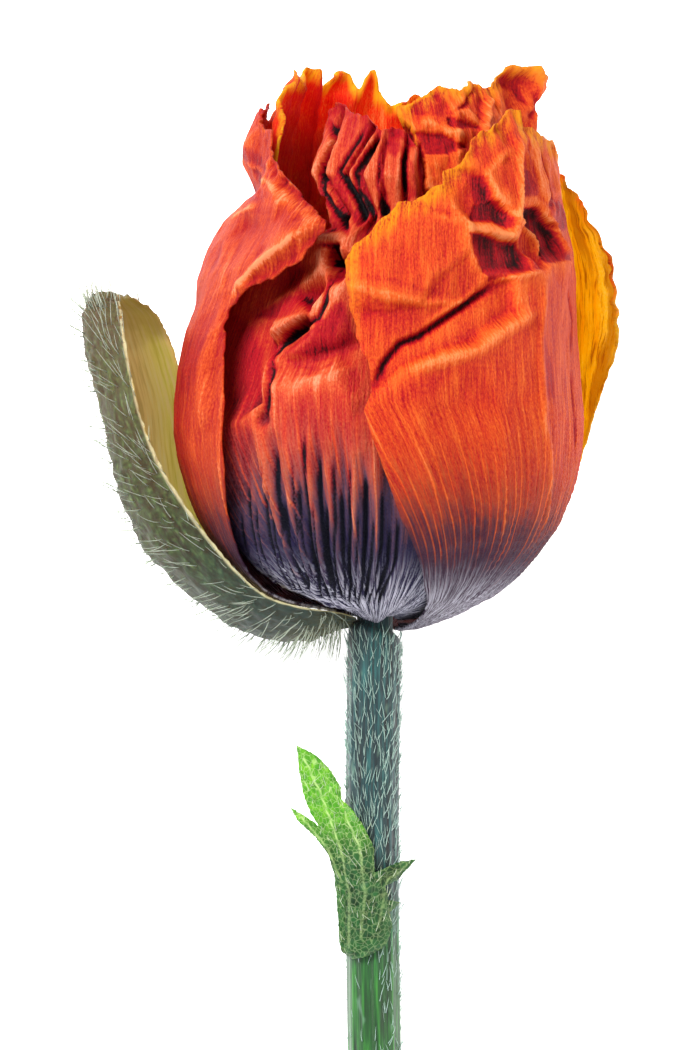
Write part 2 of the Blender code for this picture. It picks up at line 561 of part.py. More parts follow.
def petal_right():
    """Inner petal at the right, crumpled above the rim of the front right petal."""
    outline = [(82, -7.2, 0), (72, -1, 0), (62, 10, 0), (50, 22, 0), (36, 32, 0), (20, 38, -1.0),
               front(4.8, 41.0, -1.4), front(3.9, 43.0, -0.6), front(3.8, 46.0, -1.0),
               front(4.3, 47.6, -1.6), front(2.8, 49.2, -4.0), front(2.1, 51.0, -5.0),
               front(4.4, 52.2, -3.0), front(6.9, 53.6, -1.6), front(8.6, 52.9, -2.8),
               front(10.6, 54.2, -1.2), front(12.4, 53.0, -1.6), (60, 54.6, 1.4), (72, 54.8, 4.0),
               (84, 53.0, 3.0), (95, 53.2, 0.2), (106, 50.6, -1.6), (116, 52.6, -0.4), (127, 51.6, -1.6),
               (138, 54.6, -0.4), (148, 53.6, -1.4), (158, 55.0, -0.6), (165, 48, -0.4), (166, 36, 0),
               (162, 22, 0), (150, 10, 0), (134, 0, 0), (120, -7.2, 0)]
    folds = [
        [front(4.6, 42.2, 0.2), front(4.8, 44.6, 0.6), front(4.4, 46.6, 0.2), front(3.6, 49.8, -2.6)],
        [front(6.4, 42.6, 0.4), front(6.7, 45.6, 0.6), front(5.8, 48.6, 0.0), front(4.8, 51.0, -1.4)],
        [front(8.0, 44.0, -1.2), front(8.2, 47.0, -1.4), front(7.2, 50.0, -1.8), front(7.6, 52.0, -2.4)],
        [front(9.4, 44.6, -0.2), front(9.6, 48.0, 0.4), front(9.2, 51.0, 0.0), front(10.2, 53.2, -0.8)],
        [front(11.0, 45.0, -1.0), front(11.2, 49.0, -1.2), front(11.8, 52.0, -1.8)],
        [front(12.8, 45.0, -0.4), front(12.9, 49.4, 0.6), front(13.4, 52.8, 0.0)],
        [(64, 44.0, -0.8), (62, 49.6, -0.6), (65, 53.0, -0.6)],
        [(76, 44.0, -0.2), (74, 49.0, 1.2), (74, 53.4, 3.2)],
        [(90, 44.0, -0.6), (88, 48.6, -0.8), (86, 51.4, -0.8)],
        [(103, 43.0, 0.2), (100, 48.0, 0.4), (97, 51.8, 0.3)],
        [(116, 42.0, -0.6), (113, 47.0, -1.0), (108, 49.4, -1.6)],
        [(130, 42.0, 0.2), (126, 47.0, 0.5), (118, 51.2, 0.0)],
        [(146, 42.0, -0.6), (142, 47.0, -1.0), (130, 49.4, -1.6)],
        [(156, 40.0, 0.2), (152, 46.0, 0.3), (140, 51.4, -0.2)],
    ]
    return FoldMap(outline, folds, spacing=3.6, crumple=(0.05, 0.1, 0.3), seed=67), -2.4, 1.0


PETALS = [
    ("petal_back_right", petal_back_right, (0.93, 0.34, 0.02), 0.55),
    ("petal_front_right", petal_front_right, (0.80, 0.12, 0.03), 0.5),
    ("petal_left", petal_left, (0.80, 0.10, 0.03), 0.5),
    ("petal_front", petal_front, (0.62, 0.04, 0.03), 0.5),
    ("petal_back_left", petal_back_left, (0.70, 0.06, 0.03), 0.55),
    ("petal_right", petal_right, (0.72, 0.10, 0.03), 0.5),
]


def add_petals(home, parent):
    """Add the petals, the outermost first, each kept inside those before it."""
    trees = []
    for name, design, colour, roughness in PETALS:
        fold_map, offset, claw_share = design()
        mesh = petal_solid(fold_map, offset, claw_share, trees)
        trees.append(BVHTree.FromBMesh(mesh))
        add_object(name, mesh, material(name, colour, roughness), home, parent)


def tube_along(points, radii, sides, name):
    """Return a closed mesh of a tube with a radius at each of its points."""
    curve = bpy.data.curves.new(name, "CURVE")
    curve.dimensions = "3D"
    curve.bevel_depth = 1.0
    curve.bevel_resolution = (sides - 4) // 2
    curve.use_fill_caps = True
    spline = curve.splines.new("POLY")
    spline.points.add(len(points) - 1)
    for target, point, radius in zip(spline.points, points, radii):
        target.co = (*point, 1.0)
        target.radius = radius
    holder = bpy.data.objects.new(name, curve)
    bpy.context.scene.collection.objects.link(holder)
    graph = bpy.context.evaluated_depsgraph_get()
    data = bpy.data.meshes.new_from_object(holder.evaluated_get(graph))
    mesh = bmesh.new()
    mesh.from_mesh(data)
    bmesh.ops.remove_doubles(mesh, verts=mesh.verts[:], dist=1e-4)
    bpy.data.objects.remove(holder)
    bpy.data.curves.remove(curve)
    bpy.data.meshes.remove(data)
    return mesh


def stem_bend(z):
    """Return how far the stem's middle lies to the left at a height."""
    share = max(0.0, min(1.0, -z / -STEM_FOOT))
    return -0.25 * math.sin(math.pi * share)


def add_stem(home, parent):
    """Add the stem with the shoulder and the slim neck that carries the petals."""
    heights = [STEM_FOOT, -40.0, -34.0, -28.0, -22.0, -16.0, -10.0, -5.0, STEM_SHOULDER - 0.5, STEM_SHOULDER]
    points = [(stem_bend(z), 0.0, z) for z in heights]
    radii = [STEM_RADIUS] * (len(heights) - 2) + [STEM_RADIUS * 0.98, STEM_RADIUS * 0.86]
    for z in (STEM_SHOULDER + 0.25, 1.5, NECK_TOP):
        points.append((0.0, 0.0, z))
        radii.append(NECK_RADIUS)
    mesh = tube_along(points, radii, 16, "stem_tube")
    add_object("stem", mesh, material("stem", (0.16, 0.34, 0.22), 0.6), home, parent)


SEPAL_OUTER = [(-3.4, -1.9), (-5.2, -2.5), (-8.5, -2.7), (-13.5, -1.2), (-17.5, 1.5), (-22.3, 5.8),
               (-24.8, 10.0), (-26.2, 15.0), (-27.0, 20.0), (-28.2, 25.0), (-29.0, 29.0), (-28.8, 31.6),
               (-27.6, 33.0)]
SEPAL_NEAR = [(-2.6, -0.7, -2.2), (-4.6, -0.3, -4.2), (-7.2, 0.3, -5.2), (-10.4, 1.3, -5.8),
              (-13.0, 3.8, -6.4), (-16.2, 7.9, -6.6), (-19.3, 12.6, -6.8), (-21.3, 16.0, -6.8),
              (-22.8, 20.0, -6.6), (-23.9, 24.6, -6.0), (-24.7, 28.6, -5.0), (-25.1, 31.2, -3.6),
              (-25.6, 32.6, -2.0)]
SEPAL_FAR = [(-2.6, -0.9, 2.2), (-5.0, -0.6, 4.6), (-7.8, 0.0, 6.2), (-11.2, 1.4, 7.8), (-14.0, 4.4, 9.0),
             (-16.6, 9.0, 9.6), (-18.2, 13.4, 9.8), (-18.9, 18.0, 9.6), (-19.3, 21.8, 9.0),
             (-19.9, 25.2, 8.2), (-20.9, 28.6, 7.0), (-22.4, 31.4, 5.4), (-24.4, 32.7, 3.2)]
SEPAL_STEPS_ALONG = 20
SEPAL_STEPS_ACROSS = 10


def along_line(points, share):
    """Return the point at a share of the way along a line of evenly counted points."""
    place = share * (len(points) - 1)
    index = min(len(points) - 2, int(place))
    part = place - index
    return [a + (b - a) * part for a, b in zip(points[index], points[index + 1])]


def sepal_point(share, across):
    """Return a point of the sepal's outer face, across from -1 at the near edge to 1 at the far."""
    outer_x, outer_z = along_line(SEPAL_OUTER, share)
    near_x, near_z, near_y = along_line(SEPAL_NEAR, share)
    far_x, far_z, far_y = along_line(SEPAL_FAR, share)
    near = Vector((near_x, near_y, near_z))
    far = Vector((far_x, far_y, far_z))
    middle = (near + far) / 2.0
    bulge = Vector((outer_x, 0.0, outer_z)) - Vector((middle.x, 0.0, middle.z))
    angle = across * math.pi / 2.0
    return middle + bulge * math.cos(angle) + (far - near) / 2.0 * math.sin(angle)


def add_sepal(home, parent):
    """Add the one sepal that still holds on, a hollow boat open towards the petals."""
    mesh = bmesh.new()
    rows = []
    for step in range(SEPAL_STEPS_ALONG + 1):
        share = step / SEPAL_STEPS_ALONG
        row = []
        for column in range(SEPAL_STEPS_ACROSS + 1):
            across = 2.0 * column / SEPAL_STEPS_ACROSS - 1.0
            row.append(mesh.verts.new(sepal_point(share, across)))
        rows.append(row)
    for below, above in zip(rows, rows[1:]):
        for index in range(SEPAL_STEPS_ACROSS):
            mesh.faces.new((below[index], below[index + 1], above[index + 1], above[index]))
    bmesh.ops.triangulate(mesh, faces=mesh.faces[:])
    bmesh.ops.recalc_face_normals(mesh, faces=mesh.faces[:])
    mesh.normal_update()
    outside = Vector((-1.0, 0.0, -0.4))
    middle_face = min(mesh.faces, key=lambda face: abs(face.calc_center_median().y))
    if middle_face.normal.dot(outside) < 0.0:
        bmesh.ops.reverse_faces(mesh, faces=mesh.faces[:])
        mesh.normal_update()
    inward = {tuple(vert.co): -vert.normal * SEPAL_THICKNESS for vert in mesh.verts}
    copied = bmesh.ops.extrude_face_region(mesh, geom=mesh.faces[:])
    for item in copied["geom"]:
        if isinstance(item, bmesh.types.BMVert):
            item.co += inward[tuple(item.co)]
    bmesh.ops.triangulate(mesh, faces=[face for face in mesh.faces if len(face.verts) > 3])
    bmesh.ops.recalc_face_normals(mesh, faces=mesh.faces[:])
    add_object("sepal", mesh, material("sepal", (0.30, 0.38, 0.22), 0.7), home, parent)


LEAF_HUG_RADIUS = STEM_RADIUS + CLEARANCE + 0.05
LEAF_OUTLINE = [(-2.0, -33.6), (-0.6, -33.2), (1.2, -32.2), (1.9, -30.4), (1.6, -28.9), (2.7, -28.0),
                (1.5, -27.6), (1.2, -26.2), (2.6, -25.6), (4.3, -23.7), (2.4, -24.0), (0.9, -24.6),
                (0.2, -24.9), (0.1, -22.4), (-0.8, -20.4), (-1.9, -18.8), (-3.1, -17.7), (-3.2, -16.4),
                (-4.4, -14.6), (-5.8, -13.2), (-7.6, -12.3), (-7.4, -14.6), (-7.0, -16.9), (-6.3, -18.9),
                (-5.4, -20.4), (-6.4, -19.6), (-8.2, -18.5), (-7.4, -19.9), (-5.6, -21.6), (-4.4, -23.2),
                (-3.8, -25.2), (-3.5, -28.8), (-3.4, -31.8), (-3.1, -33.0)]
LEAF_RIBS = [[(-2.2, -32.4), (-2.1, -27.0), (-3.2, -22.4), (-5.0, -17.6), (-6.9, -13.6)],
             [(-1.1, -31.4), (-0.7, -26.6), (-1.2, -22.2), (-2.6, -18.9)],
             [(0.4, -30.2), (1.4, -25.6), (3.4, -24.2)]]


def leaf_surface(x, z):
    """Return how far in front of the stem's middle the leaf's back face lies at x and z."""
    side = min(abs(x), 2.5)
    hug = math.sqrt(LEAF_HUG_RADIUS ** 2 - side ** 2)
    beyond = abs(x) - side
    lift = 0.9 * max(0.0, (z + 31.0) / 18.0) ** 1.3
    return hug - 0.25 * beyond + lift + 0.06 * beyond ** 2


def add_stem_leaf(home, parent):
    """Add the small lobed leaf that clasps the stem."""
    scale = 1.0 / PLAN_MM_PER_DEGREE
    outline = [(x * scale, z, 0.0) for x, z in LEAF_OUTLINE]
    ribs = [[(x * scale, z, 0.0) for x, z in rib] for rib in LEAF_RIBS]
    fold_map = FoldMap(outline, ribs, spacing=1.6, crumple=(0.0, 0.0, 0.0), seed=5)
    mesh = bmesh.new()
    for turn, z, _ in fold_map.points:
        x = turn / scale
        mesh.verts.new((x + stem_bend(z), -leaf_surface(x, z), z))
    mesh.verts.ensure_lookup_table()
    for face in fold_map.faces:
        mesh.faces.new([mesh.verts[index] for index in face])
    mesh.normal_update()
    outward = {}
    for vert in mesh.verts:
        way = vert.normal if vert.normal.y < 0.0 else -vert.normal
        outward[tuple(vert.co)] = way * LEAF_THICKNESS
    copied = bmesh.ops.extrude_face_region(mesh, geom=mesh.faces[:])
    for item in copied["geom"]:
        if isinstance(item, bmesh.types.BMVert):
            item.co += outward[tuple(item.co)]
    bmesh.ops.triangulate(mesh, faces=[face for face in mesh.faces if len(face.verts) > 3])
    bmesh.ops.recalc_face_normals(mesh, faces=mesh.faces[:])
    add_object("stem_leaf", mesh, material("stem_leaf", (0.35, 0.62, 0.16), 0.6), home, parent)


PISTIL_PROFILE = [(0.0, 18.2), (2.2, 18.0), (4.6, 17.4), (5.3, 16.9), (5.2, 16.4), (3.9, 16.0), (4.4, 14.8),
                  (4.8, 12.6), (4.6, 10.0), (3.8, 7.4), (2.6, 5.6), (1.6, 4.9 + CLEARANCE),
                  (0.0, 4.9 + CLEARANCE)]
PISTIL_SIDES = 26
STIGMA_FOOT = 16.2


def add_pistil(home, parent):
    """Add the seed capsule with its rayed disc, on the end of the neck."""
    profile = bpy.data.meshes.new("pistil_profile")
    count = len(PISTIL_PROFILE)
    profile.from_pydata([(r, 0.0, z) for r, z in PISTIL_PROFILE], [(i, i + 1) for i in range(count - 1)], [])
    turned = bpy.data.objects.new("pistil_profile", profile)
    bpy.context.scene.collection.objects.link(turned)
    screw = turned.modifiers.new("Screw", "SCREW")
    screw.steps = PISTIL_SIDES
    screw.render_steps = PISTIL_SIDES
    screw.use_merge_vertices = True
    screw.merge_threshold = 0.0001
    graph = bpy.context.evaluated_depsgraph_get()
    data = bpy.data.meshes.new_from_object(turned.evaluated_get(graph))
    mesh = bmesh.new()
    mesh.from_mesh(data)
    bpy.data.objects.remove(turned)
    bpy.data.meshes.remove(data)
    for vert in mesh.verts:
        angle = math.atan2(vert.co.y, vert.co.x)
        ray_wave = math.cos(angle * PISTIL_SIDES / 2.0)
        if vert.co.z > STIGMA_FOOT:
            vert.co.x *= 1.0 + 0.05 * ray_wave
            vert.co.y *= 1.0 + 0.05 * ray_wave
            vert.co.z += 0.15 * ray_wave * (vert.co.xy.length > 0.1)
    bmesh.ops.triangulate(mesh, faces=[face for face in mesh.faces if len(face.verts) > 3])
    bmesh.ops.recalc_face_normals(mesh, faces=mesh.faces[:])
    add_object("pistil", mesh, material("pistil", (0.35, 0.42, 0.30), 0.6), home, parent)


STAMEN_COUNT = 26
STAMEN_RING_RADIUS = 2.75
STAMEN_RING_HEIGHT = 4.0
STAMEN_RING_THICKNESS = 0.55
FILAMENT_RADIUS = 0.34
ANTHER_LENGTH = 2.6
ANTHER_RADIUS = 0.75


def join_cutters(target, pieces):
    """Fuse the objects of a collection into the target with one Boolean union, and apply it."""
    union = target.modifiers.new("Union", "BOOLEAN")
    union.operation = "UNION"
    union.operand_type = "COLLECTION"
    union.collection = pieces
    graph = bpy.context.evaluated_depsgraph_get()
    data = bpy.data.meshes.new_from_object(target.evaluated_get(graph))
    mesh = bmesh.new()
    mesh.from_mesh(data)
    for piece in list(pieces.objects):
        bpy.data.objects.remove(piece)
    bpy.data.collections.remove(pieces)
    bpy.data.objects.remove(target)
    return mesh


def guide_object(name, mesh, home):
    """Add a bmesh as an object that only takes part in a Boolean."""
    data = bpy.data.meshes.new(name)
    mesh.to_mesh(data)
    mesh.free()
    piece = bpy.data.objects.new(name, data)
    piece.hide_render = True
    piece.display_type = "WIRE"
    home.objects.link(piece)
    return piece


def stamen_tube(index, draw):
    """Return the mesh of one stamen: a bent filament and the longer anther on its end."""
    turn = 2.0 * math.pi * (index + draw.uniform(-0.15, 0.15)) / STAMEN_COUNT
    outward = Vector((math.sin(turn), -math.cos(turn), 0.0))
    tall = draw.uniform(15.0, 20.5)
    wide = 6.4 + 1.1 * (index % 2) + draw.uniform(-0.2, 0.2)
    bends = [(STAMEN_RING_RADIUS, STAMEN_RING_HEIGHT), (wide * 0.78, 7.4), (wide, 0.72 * tall)]
    points = [outward * radius + Vector((0.0, 0.0, height)) for radius, height in bends]
    top = outward * (wide + 0.2) + Vector((0.0, 0.0, tall))
    lean = Vector((outward.y, -outward.x, 0.0)) * draw.uniform(-0.5, 0.5) + Vector((0.0, 0.0, 1.0))
    lean = lean.normalized() * ANTHER_LENGTH
    points.extend([top, top + lean * 0.25, top + lean * 0.75, top + lean])
    radii = [FILAMENT_RADIUS, FILAMENT_RADIUS, FILAMENT_RADIUS, FILAMENT_RADIUS]
    radii.extend([ANTHER_RADIUS, ANTHER_RADIUS, 0.25])
    return tube_along(points, radii, 4, "stamen_tube")


def add_stamens(home, parent):
    """Add the stamens, fused at their roots to the ring that stands round the neck."""
    pieces = bpy.data.collections.new("stamen_pieces")
    bpy.context.scene.collection.children.link(pieces)
    draw = random.Random(7)
    for index in range(STAMEN_COUNT):
        guide_object("stamen_tube", stamen_tube(index, draw), pieces)
    bpy.ops.mesh.primitive_torus_add(location=(0.0, 0.0, STAMEN_RING_HEIGHT), major_radius=STAMEN_RING_RADIUS,
                                     minor_radius=STAMEN_RING_THICKNESS, major_segments=32, minor_segments=8)
    ring = bpy.context.object
    mesh = join_cutters(ring, pieces)
    bmesh.ops.transform(mesh, matrix=Matrix.Translation((0.0, 0.0, STAMEN_RING_HEIGHT)), verts=mesh.verts[:])
    bmesh.ops.triangulate(mesh, faces=[face for face in mesh.faces if len(face.verts) > 3])
    add_object("stamens", mesh, material("stamens", (0.05, 0.03, 0.07), 0.6), home, parent)


def settle(home, axis):
    """Move the axis so that the laid-down flower's box stands on z = 0 over the origin."""
    bpy.context.view_layer.update()
    places = []
    for item in home.objects:
        if item.type == "MESH":
            places.extend(item.matrix_world @ vert.co for vert in item.data.vertices)
    places = np.array(places)
    low = places.min(axis=0)
    middle = (low + places.max(axis=0)) / 2.0
    axis.location = (-middle[0], -middle[1], -low[2])


def main():
    """Build the flower."""
    for old in list(bpy.data.objects):
        bpy.data.objects.remove(old)
    home = bpy.data.collections.new(COLLECTION)
    bpy.context.scene.collection.children.link(home)
    axis = bpy.data.objects.new("flower_axis", None)
    home.objects.link(axis)
    axis.rotation_euler = (TILT - math.pi / 2.0, 0.0, 0.0)
    add_stem(home, axis)
    add_stem_leaf(home, axis)
    add_pistil(home, axis)
    add_stamens(home, axis)
    add_petals(home, axis)
    add_sepal(home, axis)
    settle(home, axis)


main()
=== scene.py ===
"""Looks of an oriental poppy flower that opens from its bud, laid on a white light table.

The flower has its own frame in millimetres: z runs up the stem from the joint between stem
and head, x points right and -y is the flower's front.  A place on a petal is its turn
(degrees round the stem from the front, to the right) and its rise (millimetres along the
petal).  At each turn and rise one ray runs outward, and a petal is one distance on it.
"""

import logging
import math
from dataclasses import dataclass, field
from enum import Enum
from typing import Callable, Sequence

import bpy
import numpy as np
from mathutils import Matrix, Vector
from mathutils.bvhtree import BVHTree
from mathutils.geometry import delaunay_2d_cdt

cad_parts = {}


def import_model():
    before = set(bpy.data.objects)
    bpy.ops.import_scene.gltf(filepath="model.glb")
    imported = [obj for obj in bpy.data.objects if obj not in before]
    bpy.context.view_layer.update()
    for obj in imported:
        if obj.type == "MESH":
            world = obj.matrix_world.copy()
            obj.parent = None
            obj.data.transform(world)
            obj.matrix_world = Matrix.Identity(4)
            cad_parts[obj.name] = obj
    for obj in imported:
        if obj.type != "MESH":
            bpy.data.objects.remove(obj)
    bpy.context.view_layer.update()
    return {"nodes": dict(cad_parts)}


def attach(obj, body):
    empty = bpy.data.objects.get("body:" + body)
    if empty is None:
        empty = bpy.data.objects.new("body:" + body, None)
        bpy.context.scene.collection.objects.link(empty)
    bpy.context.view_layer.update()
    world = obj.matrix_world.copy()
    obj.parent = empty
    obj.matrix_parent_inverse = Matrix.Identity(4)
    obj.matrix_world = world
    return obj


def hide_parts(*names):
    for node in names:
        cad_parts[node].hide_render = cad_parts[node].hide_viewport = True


LOG = logging.getLogger("poppy_flower")
MM = 0.001
Place = tuple[float, float]
Array = np.ndarray
Socket = bpy.types.NodeSocket
Material = bpy.types.Material
Piece = bpy.types.Object

# The head's own shape, as in the solids: half its width along the rise, and its drift.
WAIST = 22.0
RAY_BEND = 20.0
PLAN_MM_PER_DEGREE = RAY_BEND * math.pi / 180.0
REACH = [(-9.4, 22.5), (-3.2, 22.5), (2.1, 22.8), (7.2, 22.3), (12.4, 21.6), (17.2, 20.9), (22, 20.3),
         (25, 20), (29, 19.2), (32, 18.8), (36.5, 18.2), (39, 17.2), (42, 16), (46, 15.6), (49, 15.1),
         (52, 14.2), (57, 12.5)]
DRIFT = [(-9.4, 0), (0, 0.3), (8, 0.7), (25, 0.9), (32, 1.8), (38, 2.3), (42, 3.1), (46, 2.9), (52, 2.6),
         (57, 3)]
SLANT = 0.36
SLANT_RADIUS = 6.0
SLANT_TOP = 14.0

# The eye in front of the flower, from which the places of folds are given; the camera stands there.
EYE_DISTANCE = 292.0
EYE_X = -2.5
EYE_Z = 9.5

# The pose of the laid-down flower.
STEM_RADIUS = 2.7
STEM_FOOT = -46.0
FLAT_DISTANCE = 20.0

# The grid of distances that each petal is worked out on.  Rays are cast inward from CAST_FROM
# millimetres off the stem's middle, and a hit closer to the middle than CAST_LEAST is no petal.
# Where the solid has no sheet, the distance is filled in and smoothed in FILL_ROUNDS rounds.
# FREE_ROOM is the room where no petal lies further out, and PETAL_GAP is kept between two petals.
# Hollows are darkened with painted shade from HOLLOW_START below the head's own shape, over
# HOLLOW_SPAN, and a petal that fills its hollows keeps HOLLOW_KEPT of them.  FINE_SPAN is the relief
# that counts as a full ridge, painted lighter, and as a full groove, painted darker.
TURN_STEP = 0.5
RISE_STEP = 0.2
RISE_LOW = -8.0
RISE_ROWS = 331
TURNS_ROUND = 720
CAST_STRIDE = 2
CAST_FROM = 40.0
CAST_LEAST = 2.0
FILL_ROUNDS = 10
SHEET_BLUR = 5.0
FREE_RIM_FROM = 12.0
HOLLOW_START = 0.6
HOLLOW_SPAN = 3.4
HOLLOW_KEPT = 0.4
FINE_SPAN = 0.55
FREE_ROOM = 90.0
PETAL_GAP = 0.12
FULL_TURN = 2.0 * math.pi


def clamped(values: Array) -> Array:
    """Return values held between 0 and 1."""
    return np.clip(values, 0.0, 1.0)


def boxed(places: Array, low: Array, high: Array) -> Array:
    """Return the numbers of the plan places that lie in a box."""
    return np.nonzero(((places >= low) & (places <= high)).all(axis=1))[0]


def smooth_profile(points: Sequence[Place], width: float = 3.0) -> Callable[[Array], Array]:
    """Return a function through a profile's points, with its corners rounded off.

    Args:
        points: pairs of place and value, in order of place.
        width: length over which a corner is rounded, in millimetres.

    Returns:
        A function of an array of places.
    """
    knots = np.array(points, dtype=float)
    grid = np.linspace(knots[0, 0], knots[-1, 0], 500)
    table = np.interp(grid, knots[:, 0], knots[:, 1])
    half = max(1, int(round(width / (grid[1] - grid[0]) / 2.0)))
    kernel = np.ones(2 * half + 1) / (2 * half + 1)
    smooth = np.convolve(np.pad(table, half, mode="edge"), kernel, mode="valid")
    return lambda value: np.interp(value, grid, smooth)


reach = smooth_profile(REACH)
drift = smooth_profile(DRIFT)


def rays(turn: Array, rise: Array) -> tuple[Array, Array]:
    """Return the outward rays at some turns and rises.

    Args:
        turn: turns in degrees.
        rise: rises in millimetres.

    Returns:
        The origins and the directions, each with three numbers a row.
    """
    dip = np.maximum(0.0, (WAIST - rise) / RAY_BEND)
    angle = np.radians(turn)
    origin = np.stack([drift(rise), np.zeros_like(dip), np.maximum(rise, WAIST)], axis=-1)
    direction = np.stack([np.cos(dip) * np.sin(angle), -np.cos(dip) * np.cos(angle), -np.sin(dip)], axis=-1)
    return origin, direction


RISES = np.linspace(-8.0, 57.0, 261)
RING_DIP = np.maximum(0.0, (WAIST - RISES) / RAY_BEND)
RING_HEIGHT = np.maximum(RISES, WAIST) - reach(RISES) * np.sin(RING_DIP)
RING_RADIUS = reach(RISES) * np.cos(RING_DIP)


def seen(x: float, z: float, relief: float = 0.0) -> Place:
    """Return the turn and rise of a point of the head seen from the eye in front of it.

    Args:
        x: its place to the right.
        z: its height.
        relief: how far it stands out from the head's own shape.

    Returns:
        Its turn and rise.
    """
    depth = 0.0
    for _ in range(6):
        share = (EYE_DISTANCE - depth) / EYE_DISTANCE
        rise = float(np.interp(EYE_Z + (z - EYE_Z) * share, RING_HEIGHT, RISES))
        radius = float(np.interp(rise, RISES, RING_RADIUS)) + relief
        sine = (EYE_X + (x - EYE_X) * share - float(drift(rise))) / radius
        sine = max(-1.0, min(1.0, sine))
        depth = radius * math.sqrt(1.0 - sine * sine)
    return math.degrees(math.asin(sine)), rise


def seen_line(*points: Sequence[float]) -> list[Place]:
    """Return the turns and rises of a line of points seen from the eye."""
    return [seen(*point) for point in points]


def plan_place(point: Sequence[float]) -> Place:
    """Return the turn and rise of the ray that passes through a point of the head."""
    x, y, z = point
    rise = z
    for _ in range(4):
        radius = math.hypot(x - float(drift(rise)), y)
        heights = np.maximum(RISES, WAIST) - radius * np.tan(RING_DIP)
        rise = float(np.interp(z, heights, RISES))
    return math.degrees(math.atan2(x - float(drift(rise)), -y)), rise


def slant_drop(points: Array) -> Array:
    """Return how far each point near the stem is moved down, more to the right."""
    radius = np.hypot(points[:, 0], points[:, 1])
    fade = clamped((SLANT_TOP - points[:, 2]) / 8.0)
    fade *= clamped((points[:, 2] + 7.0) / 5.0)
    return SLANT * points[:, 0] * np.exp(-((radius / SLANT_RADIUS) ** 2)) * fade


def pose_tilt() -> float:
    """Return the angle by which the stem points down when head and cut end both rest."""
    tilt = 0.0
    for _ in range(40):
        low = FLAT_DISTANCE - STEM_RADIUS * math.cos(tilt)
        tilt = math.asin(low / (WAIST - STEM_FOOT))
    return tilt


class Pose:
    """The change between the flower's own millimetres and the row's metres."""

    def __init__(self, stem: Piece) -> None:
        """Find the pose from the solid stem, whose cut end gives the shift."""
        self.tilt = pose_tilt()
        points = np.array([vert.co for vert in stem.data.vertices], dtype=float) / MM
        along = points[:, 1] * math.cos(self.tilt) + points[:, 2] * math.sin(self.tilt)
        end = points[along < along.min() + 0.5]
        middle = (end.min(axis=0) + end.max(axis=0)) / 2.0
        self.shift = middle - self.turned(np.array([[0.0, 0.0, STEM_FOOT]]))[0]

    def turned(self, points: Array) -> Array:
        """Return flower points turned as the flower lies, not yet shifted."""
        c, s = math.cos(self.tilt), math.sin(self.tilt)
        x, y, z = points.T
        return np.stack([x, z * c + y * s, z * s - y * c], axis=1)

    def to_row(self, points: Array, slant: bool = True) -> Array:
        """Return flower millimetres as row metres.

        Args:
            points: points of the flower, three numbers a row.
            slant: whether the slant of the head's underside is still to be added.

        Returns:
            The points in the row's metres.
        """
        points = np.array(points, dtype=float)
        if slant:
            points[:, 2] -= slant_drop(points)
        return (self.turned(points) + self.shift) * MM

    def to_flower(self, points: Array) -> Array:
        """Return row metres as flower millimetres, with the slant taken out."""
        c, s = math.cos(self.tilt), math.sin(self.tilt)
        x, y, z = (points / MM - self.shift).T
        straight = np.stack([x, y * s - z * c, y * c + z * s], axis=1)
        slanted = straight[:, 2].copy()
        for _ in range(6):
            straight[:, 2] = slanted + slant_drop(straight)
        return straight


def linear(code: str) -> tuple[float, float, float, float]:
    """Return an sRGB hex colour, such as #e8521f, as linear red, green, blue and alpha."""
    values = [int(code[i:i + 2], 16) / 255.0 for i in (1, 3, 5)]
    r, g, b = (v / 12.92 if v <= 0.04045 else ((v + 0.055) / 1.055) ** 2.4 for v in values)
    return r, g, b, 1.0


def add_node(tree: bpy.types.NodeTree, kind: str, inputs: dict | None = None,
             **settings: object) -> bpy.types.Node:
    """Add a shader node with its settings, values and links.

    Args:
        tree: the material's node tree.
        kind: the node's type, without the word ShaderNode.
        inputs: for each input socket, a value or the output socket to link to it.
        settings: attributes of the node.

    Returns:
        The new node.
    """
    new = tree.nodes.new("ShaderNode" + kind)
    for name, value in settings.items():
        setattr(new, name, value)
    for name, value in (inputs or {}).items():
        if isinstance(value, Socket):
            tree.links.new(value, new.inputs[name])
        else:
            new.inputs[name].default_value = value
    return new


